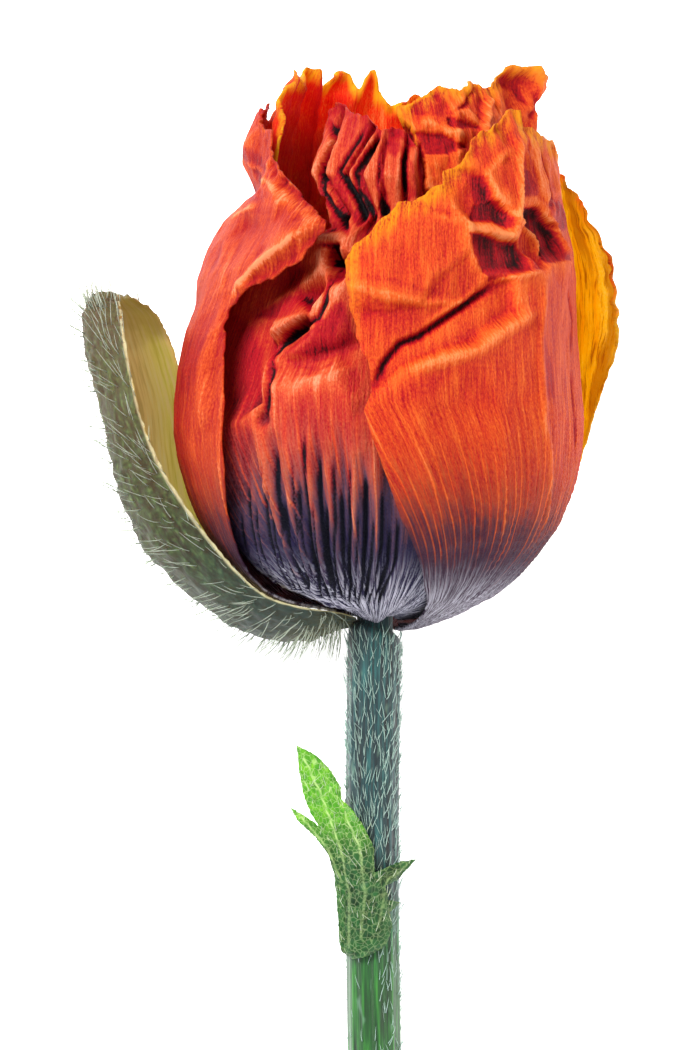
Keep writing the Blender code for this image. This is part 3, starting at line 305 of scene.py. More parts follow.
class Shading:
    """A material's node tree, with short ways to write its patterns."""

    def __init__(self, name: str) -> None:
        """Start an empty material."""
        self.material = bpy.data.materials.new(name)
        self.material.use_nodes = True
        self.tree = self.material.node_tree
        self.tree.nodes.clear()

    def math(self, operation: str, a: object, b: object = 0.0, clamp: bool = False) -> Socket:
        """Return the result of a calculation with two numbers."""
        return add_node(self.tree, "Math", {0: a, 1: b}, operation=operation, use_clamp=clamp).outputs[0]

    def add(self, a: object, b: object) -> Socket:
        """Return the sum of two numbers."""
        return self.math("ADD", a, b)

    def times(self, a: object, b: object) -> Socket:
        """Return the product of two numbers."""
        return self.math("MULTIPLY", a, b)

    def swing(self, pattern: object, share: float) -> Socket:
        """Return how far a pattern lies from its middle, times a share."""
        return self.times(self.math("SUBTRACT", pattern, 0.5), share)

    def span(self, value: object, low: float, high: float, start: float = 0.0, end: float = 1.0) -> Socket:
        """Return a number mapped smoothly from one span to another."""
        inputs = {0: value, 1: low, 2: high, 3: start, 4: end}
        return add_node(self.tree, "MapRange", inputs, interpolation_type="SMOOTHSTEP").outputs[0]

    def mix(self, share: object, a: object, b: object) -> Socket:
        """Return the mix of two colours, each a socket or a hex code."""
        a = linear(a) if isinstance(a, str) else a
        b = linear(b) if isinstance(b, str) else b
        new = add_node(self.tree, "Mix", {0: share, 6: a, 7: b}, data_type="RGBA")
        return new.outputs[2]

    def ramp(self, value: object, stops: Sequence[tuple[float, str]]) -> Socket:
        """Return the colour of a number on a colour ramp."""
        new = add_node(self.tree, "ValToRGB", {0: value})
        ramp = new.color_ramp
        while len(ramp.elements) < len(stops):
            ramp.elements.new(0.5)
        for element, (place, code) in zip(ramp.elements, stops):
            element.position = place
            element.color = linear(code)
        return new.outputs[0]

    def attribute(self, name: str) -> tuple[Socket, ...]:
        """Return the three numbers and the vector of an attribute of the mesh."""
        source = add_node(self.tree, "Attribute", attribute_name=name, attribute_type="GEOMETRY")
        parts = add_node(self.tree, "SeparateXYZ", {0: source.outputs["Vector"]})
        return parts.outputs[0], parts.outputs[1], parts.outputs[2], source.outputs["Vector"]

    def noise(self, vector: object, pace: Sequence[float], detail: float = 3.0,
              rough: float = 0.55) -> Socket:
        """Return a noise pattern's number at a vector, whose parts are first scaled by the pace."""
        scaled = add_node(self.tree, "VectorMath", {0: vector, 1: pace}, operation="MULTIPLY").outputs[0]
        inputs = {"Vector": scaled, "Scale": 1.0, "Detail": detail, "Roughness": rough}
        return add_node(self.tree, "TexNoise", inputs).outputs["Fac"]

    def bump(self, height: object, distance_mm: float, strength: float = 1.0) -> Socket:
        """Return a normal bent by a height pattern."""
        inputs = {"Height": height, "Distance": distance_mm * MM, "Strength": strength}
        return add_node(self.tree, "Bump", inputs).outputs[0]

    def skin(self, colour: object, roughness: object, normal: object, **constants: float) -> Socket:
        """Return a Principled surface; constants are set straight on its sockets."""
        inputs = {"Base Color": colour, "Roughness": roughness, "Normal": normal}
        new = add_node(self.tree, "BsdfPrincipled", inputs)
        for name, value in constants.items():
            new.inputs[name.replace("_", " ").title().replace("Ior", "IOR")].default_value = value
        return new.outputs[0]

    def lit_through(self, skin: Socket, share: object, colour: object, **inputs: Socket) -> Material:
        """Return the material of a thin blade that passes a share of the light in a colour."""
        light = add_node(self.tree, "BsdfTranslucent", {"Color": colour, **inputs}).outputs[0]
        return self.finish(add_node(self.tree, "MixShader", {0: share, 1: skin, 2: light}).outputs[0])

    def finish(self, surface: Socket) -> Material:
        """Link the surface to the material's output and return the material."""
        add_node(self.tree, "OutputMaterial", {"Surface": surface})
        return self.material


@dataclass(frozen=True)
class PetalTissue:
    """Poppy petal: a crumpled, silky sheet a few cells thick, orange where light comes through.

    It is dull orange-red with hair-fine veins that fan from the claw.  Hollows and deep folds are
    crimson to black: partly the deeper red of doubled tissue, partly painted shade.  Ridges and single
    layers are painted a bright orange, a painted highlight, and the rim is painted yellow, a painted
    glow of light coming through the thin tissue.  The claw has a purple-black blotch; the pearly
    sheen on it is painted white-lavender streaks, a painted highlight.  In a single layer with light
    behind it the veins show dark; by the share in veining they are painted dark.
    """

    name: str
    tones: tuple[str, ...] = ("#0a0103", "#52000c", "#9c0016", "#bc1016", "#da4216", "#f06820", "#fa9455")
    rim: str = "#f59a0c"
    glow: str = "#ff4a0c"
    blotch_top: float = 19.5
    blotch_full: float = 2.0
    blotch: tuple[str, ...] = ("#b23e22", "#8c3426", "#642a30", "#48223a", "#38203c")
    translucent: float = 0.26
    veining: float = 0.0

    def pattern(self, s: Shading, vein: Socket) -> tuple[Socket, ...]:
        """Return the streaks, the broad bands, the grain and the vein lines of the tissue."""
        # Real veinlets lie 0.1 to 0.2 mm apart; they are drawn at 0.3 to 0.5 mm to show.
        streak = s.noise(vein, (2.8, 0.24, 1.0), 6.0, 0.68)
        broad = s.noise(vein, (0.5, 0.06, 1.0), 2.0)
        grain = s.noise(vein, (5.0, 3.0, 1.0), 5.0, 0.65)
        # The main veins stand out as pale lines about 1.5 mm apart.
        wander = s.noise(vein, (0.25, 0.08, 1.0), 2.0)
        across = add_node(s.tree, "SeparateXYZ", {0: vein}).outputs[0]
        across = s.add(s.times(across, 0.62), s.times(wander, 1.6))
        off = s.math("ABSOLUTE", s.math("SUBTRACT", s.math("FRACT", across), 0.5))
        line = s.times(s.span(off, 0.16, 0.02), s.span(broad, 0.36, 0.60))
        return streak, broad, grain, line

    def build(self) -> Material:
        """Return the petal's material."""
        s = Shading(self.name)
        _, rise, _, vein = s.attribute("vein")
        fold, fine, rim_glow, _ = s.attribute("fold")
        streak, broad, grain, line = self.pattern(s, vein)
        # Painted shade and highlight: the marks' tones and painted shade in hollows, with ridges painted
        # lighter and grooves darker by their fine relief.
        tone = s.add(fold, s.times(fine, 0.7))
        for pattern, share in ((streak, 2.6), (broad, 0.8), (grain, 2.2)):
            tone = s.add(tone, s.swing(pattern, share))
        low = s.span(rise, 30.0, 20.0, 0.08, 0.42)
        tone = s.add(tone, s.times(line, low))
        place = s.math("DIVIDE", s.add(tone, 1.6), 2.8)
        colour = s.ramp(place, list(zip((0.0, 0.12, 0.24, 0.40, 0.57, 0.76, 1.0), self.tones)))
        # The blotch runs up the veins in streaks.
        level = s.add(rise, s.swing(streak, -14.0))
        level = s.add(level, s.times(fine, 4.0))
        level = s.add(level, s.times(line, 4.0))
        blotch = s.span(level, self.blotch_top, self.blotch_full)
        dark = s.ramp(s.add(blotch, s.swing(grain, 0.6)),
                      list(zip((0.0, 0.3, 0.55, 0.8, 1.0), self.blotch)))
        # Painted shade: grooves and hollows in the blotch are painted near black.
        dark = s.mix(s.span(tone, -1.1, 0.1, 1.0, 0.0), dark, "#06061a")
        colour = s.mix(s.math("MINIMUM", s.times(blotch, 1.5), 1.0), colour, dark)
        # Painted sheen: white-lavender streaks near the claw, a painted highlight of light off the ribs.
        painted_sheen = s.add(s.times(s.span(streak, 0.45, 0.57), 1.0), s.times(line, 0.8))
        painted_sheen = s.times(painted_sheen, s.span(rise, 7.0, -2.0))
        painted_sheen = s.math("MULTIPLY", painted_sheen, s.span(tone, -0.6, 0.2), clamp=True)
        colour = s.mix(s.times(painted_sheen, 0.9), colour, "#f0ecfa")
        # Painted glow: the rim is painted yellow as if lit through, held back where painted shade falls.
        edge = s.add(rim_glow, s.swing(broad, 1.6))
        edge = s.times(s.span(edge, 0.15, 0.9), s.span(rim_glow, 0.02, 0.25))
        colour = s.mix(s.times(edge, s.span(tone, -0.8, 0.2)), colour, self.rim)
        veins = s.math("MAXIMUM", s.span(streak, 0.50, 0.38), s.times(s.span(broad, 0.50, 0.38), 0.5))
        veins = s.times(veins, self.veining)
        colour = s.mix(veins, colour, "#a84808")
        height = s.add(s.times(streak, 0.7), s.times(grain, 0.6))
        normal = s.bump(height, 0.35)
        skin = s.skin(colour, 0.55, normal, specular_ior_level=0.2)
        through = s.mix(s.times(blotch, 0.9), s.mix(edge, self.glow, self.rim), "#3a0c18")
        through = s.mix(veins, s.mix(0.6, through, colour), "#8c3404")
        return s.lit_through(skin, self.translucent, through, Normal=normal)


def to_object(name: str, points: Array, faces: Array, smooth: bool = True) -> Piece:
    """Make a mesh object from numbers.

    Args:
        name: the piece's name.
        points: its points in row metres.
        faces: its triangles, three point numbers a row.
        smooth: whether it is shaded smooth.

    Returns:
        The new object, already in the scene.
    """
    mesh = bpy.data.meshes.new(name)
    mesh.vertices.add(len(points))
    mesh.vertices.foreach_set("co", np.asarray(points, dtype=np.float32).ravel())
    mesh.loops.add(faces.size)
    mesh.loops.foreach_set("vertex_index", np.asarray(faces, dtype=np.int32).ravel())
    mesh.polygons.add(len(faces))
    mesh.polygons.foreach_set("loop_start", np.arange(0, faces.size, 3, dtype=np.int32))
    mesh.polygons.foreach_set("use_smooth", np.full(len(faces), smooth))
    mesh.update(calc_edges=True)
    mesh.validate()
    new = bpy.data.objects.new(name, mesh)
    bpy.context.scene.collection.objects.link(new)
    return new


def set_attribute(piece: Piece, name: str, values: Array) -> None:
    """Write three numbers a point to an attribute of a mesh."""
    made = piece.data.attributes.new(name, "FLOAT_VECTOR", "POINT")
    made.data.foreach_set("vector", np.asarray(values, dtype=np.float32).ravel())


def dress(piece: Piece, finish: Material, node: str | None = None) -> None:
    """Give a piece its material and body, and report it.

    Args:
        piece: the finished object.
        finish: its material.
        node: the solid that it stands for, if any.
    """
    piece.data.materials.append(finish)
    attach(piece, "root")
    if node:
        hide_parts(node)
    LOG.info("%s: %d faces", piece.name, len(piece.data.polygons))


def blurred(values: Array, sigma: float) -> Array:
    """Return a grid blurred by a bell curve of that many cells."""
    half = max(1, int(math.ceil(sigma * 2.5)))
    kernel = np.exp(-0.5 * (np.arange(-half, half + 1) / sigma) ** 2)
    kernel /= kernel.sum()
    for axis in (0, 1):
        padded = np.pad(values, [(half, half) if a == axis else (0, 0) for a in (0, 1)], mode="edge")
        length = values.shape[axis]
        parts = [np.take(padded, range(i, i + length), axis=axis) * k for i, k in enumerate(kernel)]
        values = np.sum(parts, axis=0)
    return values


def filled(values: Array) -> Array:
    """Return a grid with its empty cells filled from their neighbours, from the known ones outward."""
    values = values.copy()
    while np.isnan(values).any():
        padded = np.pad(values, 1, mode="edge")
        near = [padded[1 + i:padded.shape[0] - 1 + i, 1 + j:padded.shape[1] - 1 + j]
                for i in (-1, 0, 1) for j in (-1, 0, 1) if (i, j) != (0, 0)]
        stack = np.stack(near)
        known = ~np.isnan(stack)
        count = known.sum(axis=0)
        mean = np.where(known, stack, 0.0).sum(axis=0) / np.maximum(count, 1)
        grow = np.isnan(values) & (count > 0)
        if not grow.any():
            break
        values[grow] = mean[grow]
    return values


def inside(polygon: Array, points: Array) -> Array:
    """Return which plan points lie inside a closed polygon."""
    result = np.zeros(len(points), dtype=bool)
    x, y = points[:, 0], points[:, 1]
    for (ax, ay), (bx, by) in zip(polygon, np.roll(polygon, -1, axis=0)):
        if ay == by:
            continue
        crosses = (ay > y) != (by > y)
        result ^= crosses & (x < (bx - ax) * (y - ay) / (by - ay) + ax)
    return result


def dense_line(points: Sequence[Place], spacing: float) -> Array:
    """Return a line's points no further apart than the spacing."""
    table = np.array(points, dtype=float)
    parts = []
    for start, end in zip(table[:-1], table[1:]):
        steps = max(1, math.ceil(float(np.hypot(*(end - start))) / spacing))
        parts += [start + (end - start) * step / steps for step in range(steps)]
    parts.append(table[-1])
    return np.array(parts)


def gap_to(points: Array, line: Array) -> Array:
    """Return each point's distance from the nearest point of a dense line."""
    result = np.empty(len(points))
    for start in range(0, len(points), 4000):
        part = points[start:start + 4000]
        square = ((part[:, None, :] - line[None, :, :]) ** 2).sum(axis=2)
        result[start:start + 4000] = np.sqrt(square.min(axis=1))
    return result


def turns_of(places: Array) -> Array:
    """Return the turns of plan places, in degrees."""
    return places[:, 0] / PLAN_MM_PER_DEGREE


def spanned(rim: Array, fill: Array) -> tuple[Array, Array]:
    """Return the plan points of an outline and its filling, and the triangles that span them."""
    edges = [(i, (i + 1) % len(rim)) for i in range(len(rim))]
    result = delaunay_2d_cdt([Vector(point) for point in np.concatenate([rim, fill])], edges, [], 1, 1e-5)
    return np.array([tuple(point) for point in result[0]]), np.array(result[2], dtype=int)


def waves(places: Array, length: float, seed: int, count: int = 7) -> Array:
    """Return smooth random waves from -1 to 1 at plan places.

    Args:
        places: plan places, two numbers a row, in millimetres.
        length: the typical wave length.
        seed: the seed of the pattern.
        count: how many waves are added up.

    Returns:
        One number a place.
    """
    draw = np.random.default_rng(seed)
    total = np.zeros(len(places))
    for _ in range(count):
        angle = draw.uniform(0.0, FULL_TURN)
        pace = FULL_TURN / (length * draw.uniform(0.7, 1.5))
        total += np.sin((places[:, 0] * math.cos(angle) + places[:, 1] * math.sin(angle)) * pace
                        + draw.uniform(0.0, FULL_TURN))
    return total / math.sqrt(count)


class Given(Enum):
    """How the points of a mark are given."""

    PLAN = "turn and rise"
    FRONT = "x and z, as seen from the eye in front"


@dataclass(frozen=True)
class Crease:
    """A groove (negative) or ridge (positive) pressed into a petal along a line."""

    points: Sequence[Place]
    height: float
    width: float
    # Painted shade where negative, painted highlight where positive.
    tone: float = 0.0
    given: Given = Given.PLAN

    def weight(self, line: Array, places: Array) -> Array:
        """Return how strongly the crease along a plan line shows at plan places, from 0 to 1."""
        reach_out = 4.0 * self.width
        low, high = line.min(axis=0) - reach_out, line.max(axis=0) + reach_out
        near = boxed(places, low, high)
        result = np.zeros(len(places))
        if not len(near):
            return result
        part = places[near]
        best = np.full(len(near), np.inf)
        along = np.zeros(len(near))
        lengths = np.hypot(*np.diff(line, axis=0).T)
        total = lengths.sum()
        done = 0.0
        for start, end, length in zip(line[:-1], line[1:], lengths):
            way = (end - start) / max(length, 1e-6)
            offset = part - start
            t = np.clip(offset @ way, 0.0, length)
            gap = np.hypot(*(offset - t[:, None] * way).T)
            closer = gap < best
            best = np.where(closer, gap, best)
            along = np.where(closer, done + t, along)
            done += length
        fade_length = min(2.5, 0.35 * total)
        fade = clamped(np.minimum(along, total - along) / fade_length)
        fade = fade * fade * (3.0 - 2.0 * fade)
        result[near] = clamped(1.0 - best / (2.1 * self.width)) ** 1.3 * fade
        return result


@dataclass(frozen=True)
class Zone:
    """A part of a petal that lies deeper or higher than the rest, or is darker or lighter."""

    points: Sequence[Place]
    # Painted shade where negative, painted highlight where positive.
    tone: float
    soft: float
    height: float = 0.0
    given: Given = Given.PLAN

    def weight(self, line: Array, places: Array) -> Array:
        """Return how far inside the zone each plan place lies, from 0 at its edge to 1."""
        result = np.zeros(len(places))
        near = boxed(places, line.min(axis=0), line.max(axis=0))
        within = near[inside(line, places[near])]
        if len(within):
            rim = dense_line(np.concatenate([line, line[:1]]), 0.12)
            share = clamped(gap_to(places[within], rim) / self.soft)
            result[within] = share * share * (3.0 - 2.0 * share)
        return result


def zone(tone: float, soft: float, *corners: Place, height: float = 0.0) -> Zone:
    """Return a zone whose corners are given as seen from the front."""
    return Zone(corners, tone, soft, height, Given.FRONT)


def crease(height: float, width: float, tone: float, *points: Place) -> Crease:
    """Return a crease whose points are given as seen from the front."""
    return Crease(points, height, width, tone, Given.FRONT)


@dataclass
class Petal:
    """One petal: a thin closed sheet that keeps the folds of its solid and adds finer ones."""

    name: str
    slot: str
    tissue: PetalTissue
    outline: Sequence[Place]
    marks: Sequence[Crease | Zone]
    vein_left: Sequence[Place]
    vein_right: Sequence[Place]
    near_turns: Place
    seed: int
    near_rises: Place = (-9.0, 60.0)
    veins: float = 60.0
    vein_height: float = 0.05
    ruffle: float = 0.12
    offset: float = 0.0
    hollow_shade: float = 0.6
    rim_width: float = 1.0
    rim_glow_share: float = 0.5
    crumple: float = 0.16
    fine_spacing: float = 0.32
    coarse_spacing: float = 0.65
    thickness: float = 0.20
    smoothing: float = 1.3
    mark_relief: float = 0.5
    hollow_share: float = 1.0
    turns: Array = field(init=False)
    distance: Array = field(init=False)

    def dense_outline(self) -> Array:
        """Return the outline as a fine plan line, ragged where the rim is free."""
        draw = np.random.default_rng(self.seed)
        corners = np.array([(turn * PLAN_MM_PER_DEGREE, rise) for turn, rise in self.outline])
        result = []
        for start, end in zip(corners, np.roll(corners, -1, axis=0)):
            length = float(np.hypot(*(end - start)))
            middle = (start + end) / 2.0
            near = self.is_near(np.array([middle]))[0]
            steps = max(1, math.ceil(length / (self.fine_spacing if near else self.coarse_spacing)))
            for step in range(steps):
                result.append(start + (end - start) * step / steps)
        points = np.array(result)
        way = np.roll(points, -1, axis=0) - np.roll(points, 1, axis=0)
        way /= np.maximum(np.hypot(way[:, 0], way[:, 1]), 1e-6)[:, None]
        normal = np.stack([way[:, 1], -way[:, 0]], axis=1)
        free = clamped((points[:, 1] - 14.0) / 16.0)
        wobble = 0.13 * waves(points, 3.6, self.seed) + 0.07 * waves(points, 1.3, self.seed + 9)
        wobble += 0.05 * draw.uniform(-1.0, 1.0, len(points))
        bites = clamped(waves(points, 5.0, self.seed + 8) - 1.1)
        points = points * 0.5 + (np.roll(points, 1, axis=0) + np.roll(points, -1, axis=0)) * 0.25
        return points + normal * ((wobble - 0.5 * bites) * free)[:, None]

    def is_near(self, places: Array) -> Array:
        """Return which plan places lie in the part of the petal that is seen closely."""
        turn = turns_of(places)
        return ((turn > self.near_turns[0]) & (turn < self.near_turns[1])
                & (places[:, 1] > self.near_rises[0]) & (places[:, 1] < self.near_rises[1]))

    def lattice(self, rim: Array) -> Array:
        """Return the plan points that fill the outline."""
        draw = np.random.default_rng(self.seed + 1)
        low, high = rim.min(axis=0), rim.max(axis=0)
        kept = []
        for spacing, near in ((self.fine_spacing, True), (self.coarse_spacing, False)):
            columns = np.arange(low[0], high[0], spacing)
            rows = np.arange(low[1], high[1], spacing * math.sqrt(0.75))
            x, y = np.meshgrid(columns, rows)
            x = x + (np.arange(len(rows)) % 2)[:, None] * spacing / 2.0
            points = np.stack([x.ravel(), y.ravel()], axis=1)
            points += draw.uniform(-0.12, 0.12, points.shape) * spacing
            points = points[self.is_near(points) == near]
            points = points[inside(rim, points)]
            kept.append(points[gap_to(points, rim) > 0.6 * spacing])
        return np.concatenate(kept)

    def cast(self, tree: BVHTree) -> Array:
        """Return the solid's outer distance at each rise and turn of the petal's grid."""
        turns = self.turns[::CAST_STRIDE]
        rises = (RISE_LOW + RISE_STEP * np.arange(RISE_ROWS))[::CAST_STRIDE]
        turn, rise = np.meshgrid(turns, rises)
        origin, direction = rays(turn, rise)
        result = np.full(turn.shape, np.nan)
        far = origin + direction * CAST_FROM
        for row in range(turn.shape[0]):
            for column in range(turn.shape[1]):
                hit = tree.ray_cast(Vector(far[row, column]), Vector(-direction[row, column]), CAST_FROM)
                if hit[0] is not None and hit[3] < CAST_FROM - CAST_LEAST:
                    result[row, column] = CAST_FROM - hit[3]
        empty = np.isnan(result)
        result = filled(result)
        for _ in range(FILL_ROUNDS):
            result = np.where(empty, blurred(result, 4.0), result)
        fine_rows = np.arange(RISE_ROWS) / CAST_STRIDE
        fine_columns = np.arange(len(self.turns)) / CAST_STRIDE
        part = np.stack([np.interp(fine_columns, np.arange(len(turns)), line) for line in result])
        return np.stack([np.interp(fine_rows, np.arange(len(rises)), line) for line in part.T], axis=1)

    def cells(self, places: Array) -> tuple[Array, Array]:
        """Return the grid row and column of plan places, not rounded."""
        return (places[:, 1] - RISE_LOW) / RISE_STEP, (turns_of(places) - self.turns[0]) / TURN_STEP

    def sampled(self, grid: Array, places: Array) -> Array:
        """Return a grid's values at plan places."""
        row, column = self.cells(places)
        column = np.clip(column, 0.0, grid.shape[1] - 1.001)
        row = np.clip(row, 0.0, grid.shape[0] - 1.001)
        c, r = column.astype(int), row.astype(int)
        u, v = column - c, row - r
        return (grid[r, c] * (1 - u) * (1 - v) + grid[r, c + 1] * u * (1 - v)
                + grid[r + 1, c] * (1 - u) * v + grid[r + 1, c + 1] * u * v)

    def fan(self, places: Array) -> Array:
        """Return how far across the petal's veins each plan place lies, from 0 to 1."""
        turn = turns_of(places)
        left = np.interp(places[:, 1], *np.array(self.vein_left).T)
        right = np.interp(places[:, 1], *np.array(self.vein_right).T)
        return (turn - left) / (right - left)

    def found(self, tree: BVHTree, x: float, z: float) -> Place:
        """Return the turn and rise of the solid's point that the eye sees at x and z."""
        eye = Vector((EYE_X, -EYE_DISTANCE, EYE_Z))
        hit = tree.ray_cast(eye, (Vector((x, 0.0, z)) - eye).normalized())
        return seen(x, z, self.offset) if hit[0] is None else plan_place(hit[0])

    def marked(self, tree: BVHTree, places: Array) -> tuple[Array, Array]:
        """Return the relief and the tone, painted shade and highlight, of the petal's marks at plan places.
        """
        total = np.zeros((2, len(places)))
        for mark in self.marks:
            points = mark.points
            if mark.given is Given.FRONT:
                points = [self.found(tree, *point) for point in points]
            line = np.array(points) * (PLAN_MM_PER_DEGREE, 1.0)
            weight = mark.weight(line, places)
            total += np.outer((mark.height, mark.tone), weight)
        return total[0] * self.mark_relief, total[1]

    def fine_relief(self, places: Array, rim_gap: Array) -> Array:
        """Return the relief that is finer than the solid's folds: veins, crumples and ruffles."""
        total = np.zeros(len(places))
        draw = np.random.default_rng(self.seed + 2)
        fan = self.fan(places)
        fibre = np.zeros(len(places))
        # Five sets of fibres, each of its own pace, run down to the claw and are deepest there.
        for _ in range(5):
            pace = self.veins * draw.uniform(0.7, 2.2) * FULL_TURN
            phase = draw.uniform(0.0, 6.3) + draw.uniform(-0.06, 0.06) * places[:, 1]
            fibre += 1.0 - 2.0 * np.abs(np.sin(fan * pace / 2.0 + phase))
        low = np.clip((30.0 - places[:, 1]) / 14.0, 0.25, 1.0)
        total += self.vein_height * fibre / 2.0 * low
        # Crumples of about 5 and 2 mm, mostly in the upper part.
        crumple = np.abs(waves(places, 5.0, self.seed + 3)) - 0.6
        crumple += 0.5 * (np.abs(waves(places, 2.2, self.seed + 4)) - 0.6)
        top = clamped((places[:, 1] - 28.0) / 14.0)
        total -= self.crumple * crumple * (0.15 + 0.85 * top)
        ruffle = waves(places, 1.8, self.seed + 5)
        free = clamped((places[:, 1] - 20.0) / 12.0)
        total += self.ruffle * ruffle * np.exp(-rim_gap / 1.6) * free
        return total

    def build(self, pose: Pose, solid: Piece, room: Array) -> Piece:
        """Build the petal as a thin closed sheet.

        Args:
            pose: the flower's pose.
            solid: the CAD node that the petal stands for.
            room: for each rise and turn round the head, how far out the next petal may lie.

        Returns:
            The finished mesh object.  The room array is drawn in for the petals inside it.
        """
        points = pose.to_flower(np.array([vert.co for vert in solid.data.vertices], dtype=float))
        corners = [tuple(polygon.vertices) for polygon in solid.data.polygons]
        tree = BVHTree.FromPolygons([Vector(point) for point in points], corners)
        rim = self.dense_outline()
        low = math.floor(rim[:, 0].min() / PLAN_MM_PER_DEGREE) - 4.0
        high = math.ceil(rim[:, 0].max() / PLAN_MM_PER_DEGREE) + 4.0
        self.turns = np.arange(low, high + 0.1, TURN_STEP)
        self.distance = blurred(self.cast(tree), self.smoothing)
        places, faces = spanned(rim, self.lattice(rim))
        rim_gap = gap_to(places, rim[rim[:, 1] > FREE_RIM_FROM])
        base = self.sampled(self.distance, places)
        own = reach(places[:, 1]) + self.offset
        base += (1.0 - self.hollow_share) * np.maximum(0.0, own - base - HOLLOW_KEPT)
        height, tone = self.marked(tree, places)
        distance = base + height + self.fine_relief(places, rim_gap)
        columns = np.round(self.turns / TURN_STEP).astype(int) % TURNS_ROUND
        distance = np.minimum(distance, self.sampled(room[:, columns], places))
        turn = turns_of(places)
        origin, direction = rays(turn, places[:, 1])
        outer = origin + direction * distance[:, None]
        normal = vertex_normals(outer, faces)
        lean = np.maximum(0.45, np.abs((normal * direction).sum(axis=1)))
        inner = outer - direction * (self.thickness / lean)[:, None]
        self.draw_in(room, places, distance, rim, columns)
        both, shell = closed_shell(outer, inner, faces)
        piece = to_object(self.name + "_sheet", above_floor(pose.to_row(both), 0.0), shell)
        # Painted shade: the deeper a hollow lies below the head's own shape, the darker it is painted.
        hollow = clamped((own - base - HOLLOW_START) / HOLLOW_SPAN)
        # Painted highlight and shade: ridges of the fine relief are painted lighter, grooves darker.
        soft = blurred(self.regridded(places, distance), SHEET_BLUR)
        fine = np.clip((distance - self.sampled(soft, places)) / FINE_SPAN, -1.0, 1.0)
        fan = self.fan(places) * self.veins
        vein = np.stack([fan, places[:, 1], np.full(len(places), float(self.seed))], axis=1)
        free = clamped((places[:, 1] - 24.0) / 12.0)
        # Painted glow along the free rim, where light would come through the thin tissue.
        rim_glow = self.rim_glow_share * clamped(1.0 - rim_gap / self.rim_width) * free
        fold = np.stack([tone - self.hollow_shade * hollow, fine, rim_glow], axis=1)
        set_attribute(piece, "vein", np.concatenate([vein, vein]))
        set_attribute(piece, "fold", np.concatenate([fold, fold]))
        return piece

    def regridded(self, places: Array, values: Array) -> Array:
        """Return values at scattered places put back on the petal's grid."""
        rows, columns = self.distance.shape
        row, column = (np.round(number).astype(int) for number in self.cells(places))
        row, column = np.clip(row, 0, rows - 1), np.clip(column, 0, columns - 1)
        total, count = np.zeros((2, rows, columns))
        np.add.at(total, (row, column), values)
        np.add.at(count, (row, column), 1.0)
        grid = np.where(count > 0.0, total / np.maximum(count, 1.0), np.nan)
        return filled(grid)

    def draw_in(self, room: Array, places: Array, distance: Array,
                rim: Array, columns: Array) -> None:
        """Lower the room left for the next petals to this petal's inner face."""
        rises = RISE_LOW + RISE_STEP * np.arange(RISE_ROWS)
        turn, rise = np.meshgrid(self.turns * PLAN_MM_PER_DEGREE, rises)
        cells = np.stack([turn.ravel(), rise.ravel()], axis=1)
        covered = inside(rim[::2], cells).reshape(turn.shape)
        face = self.regridded(places, distance) - self.thickness - PETAL_GAP
        limit = np.where(covered, face, FREE_ROOM)
        for axis in (0, 1):
            for _ in range(3):
                shifted = [np.roll(limit, 1, axis), np.roll(limit, -1, axis)]
                limit = np.minimum(limit, np.minimum(*shifted))
        room[:, columns] = np.minimum(room[:, columns], limit)


def vertex_normals(points: Array, faces: Array) -> Array:
    """Return the unit normals at a mesh's points."""
    a, b, c = points[faces[:, 0]], points[faces[:, 1]], points[faces[:, 2]]
    across = np.cross(b - a, c - a)
    normals = np.zeros_like(points)
    for corner in range(3):
        np.add.at(normals, faces[:, corner], across)
    return normals / np.maximum(np.linalg.norm(normals, axis=1), 1e-9)[:, None]


def closed_shell(outer: Array, inner: Array, faces: Array) -> tuple[Array, Array]:
    """Close two matching sheets into one shell.

    Args:
        outer: the outer sheet's points.
        inner: the inner sheet's points, in the same order.
        faces: the triangles of both, as seen from outside.

    Returns:
        All points and all triangles of the shell.
    """
    count = len(outer)
    edges = np.concatenate([faces[:, [0, 1]], faces[:, [1, 2]], faces[:, [2, 0]]])
    key = np.sort(edges, axis=1)
    _, first, times = np.unique(key[:, 0] * count + key[:, 1], return_index=True, return_counts=True)
    open_edges = edges[first[times == 1]]
    a, b = open_edges[:, 0], open_edges[:, 1]
    band = [np.stack([b, a, a + count], axis=1), np.stack([b, a + count, b + count], axis=1)]
    return np.concatenate([outer, inner]), np.concatenate([faces, faces[:, ::-1] + count, *band])


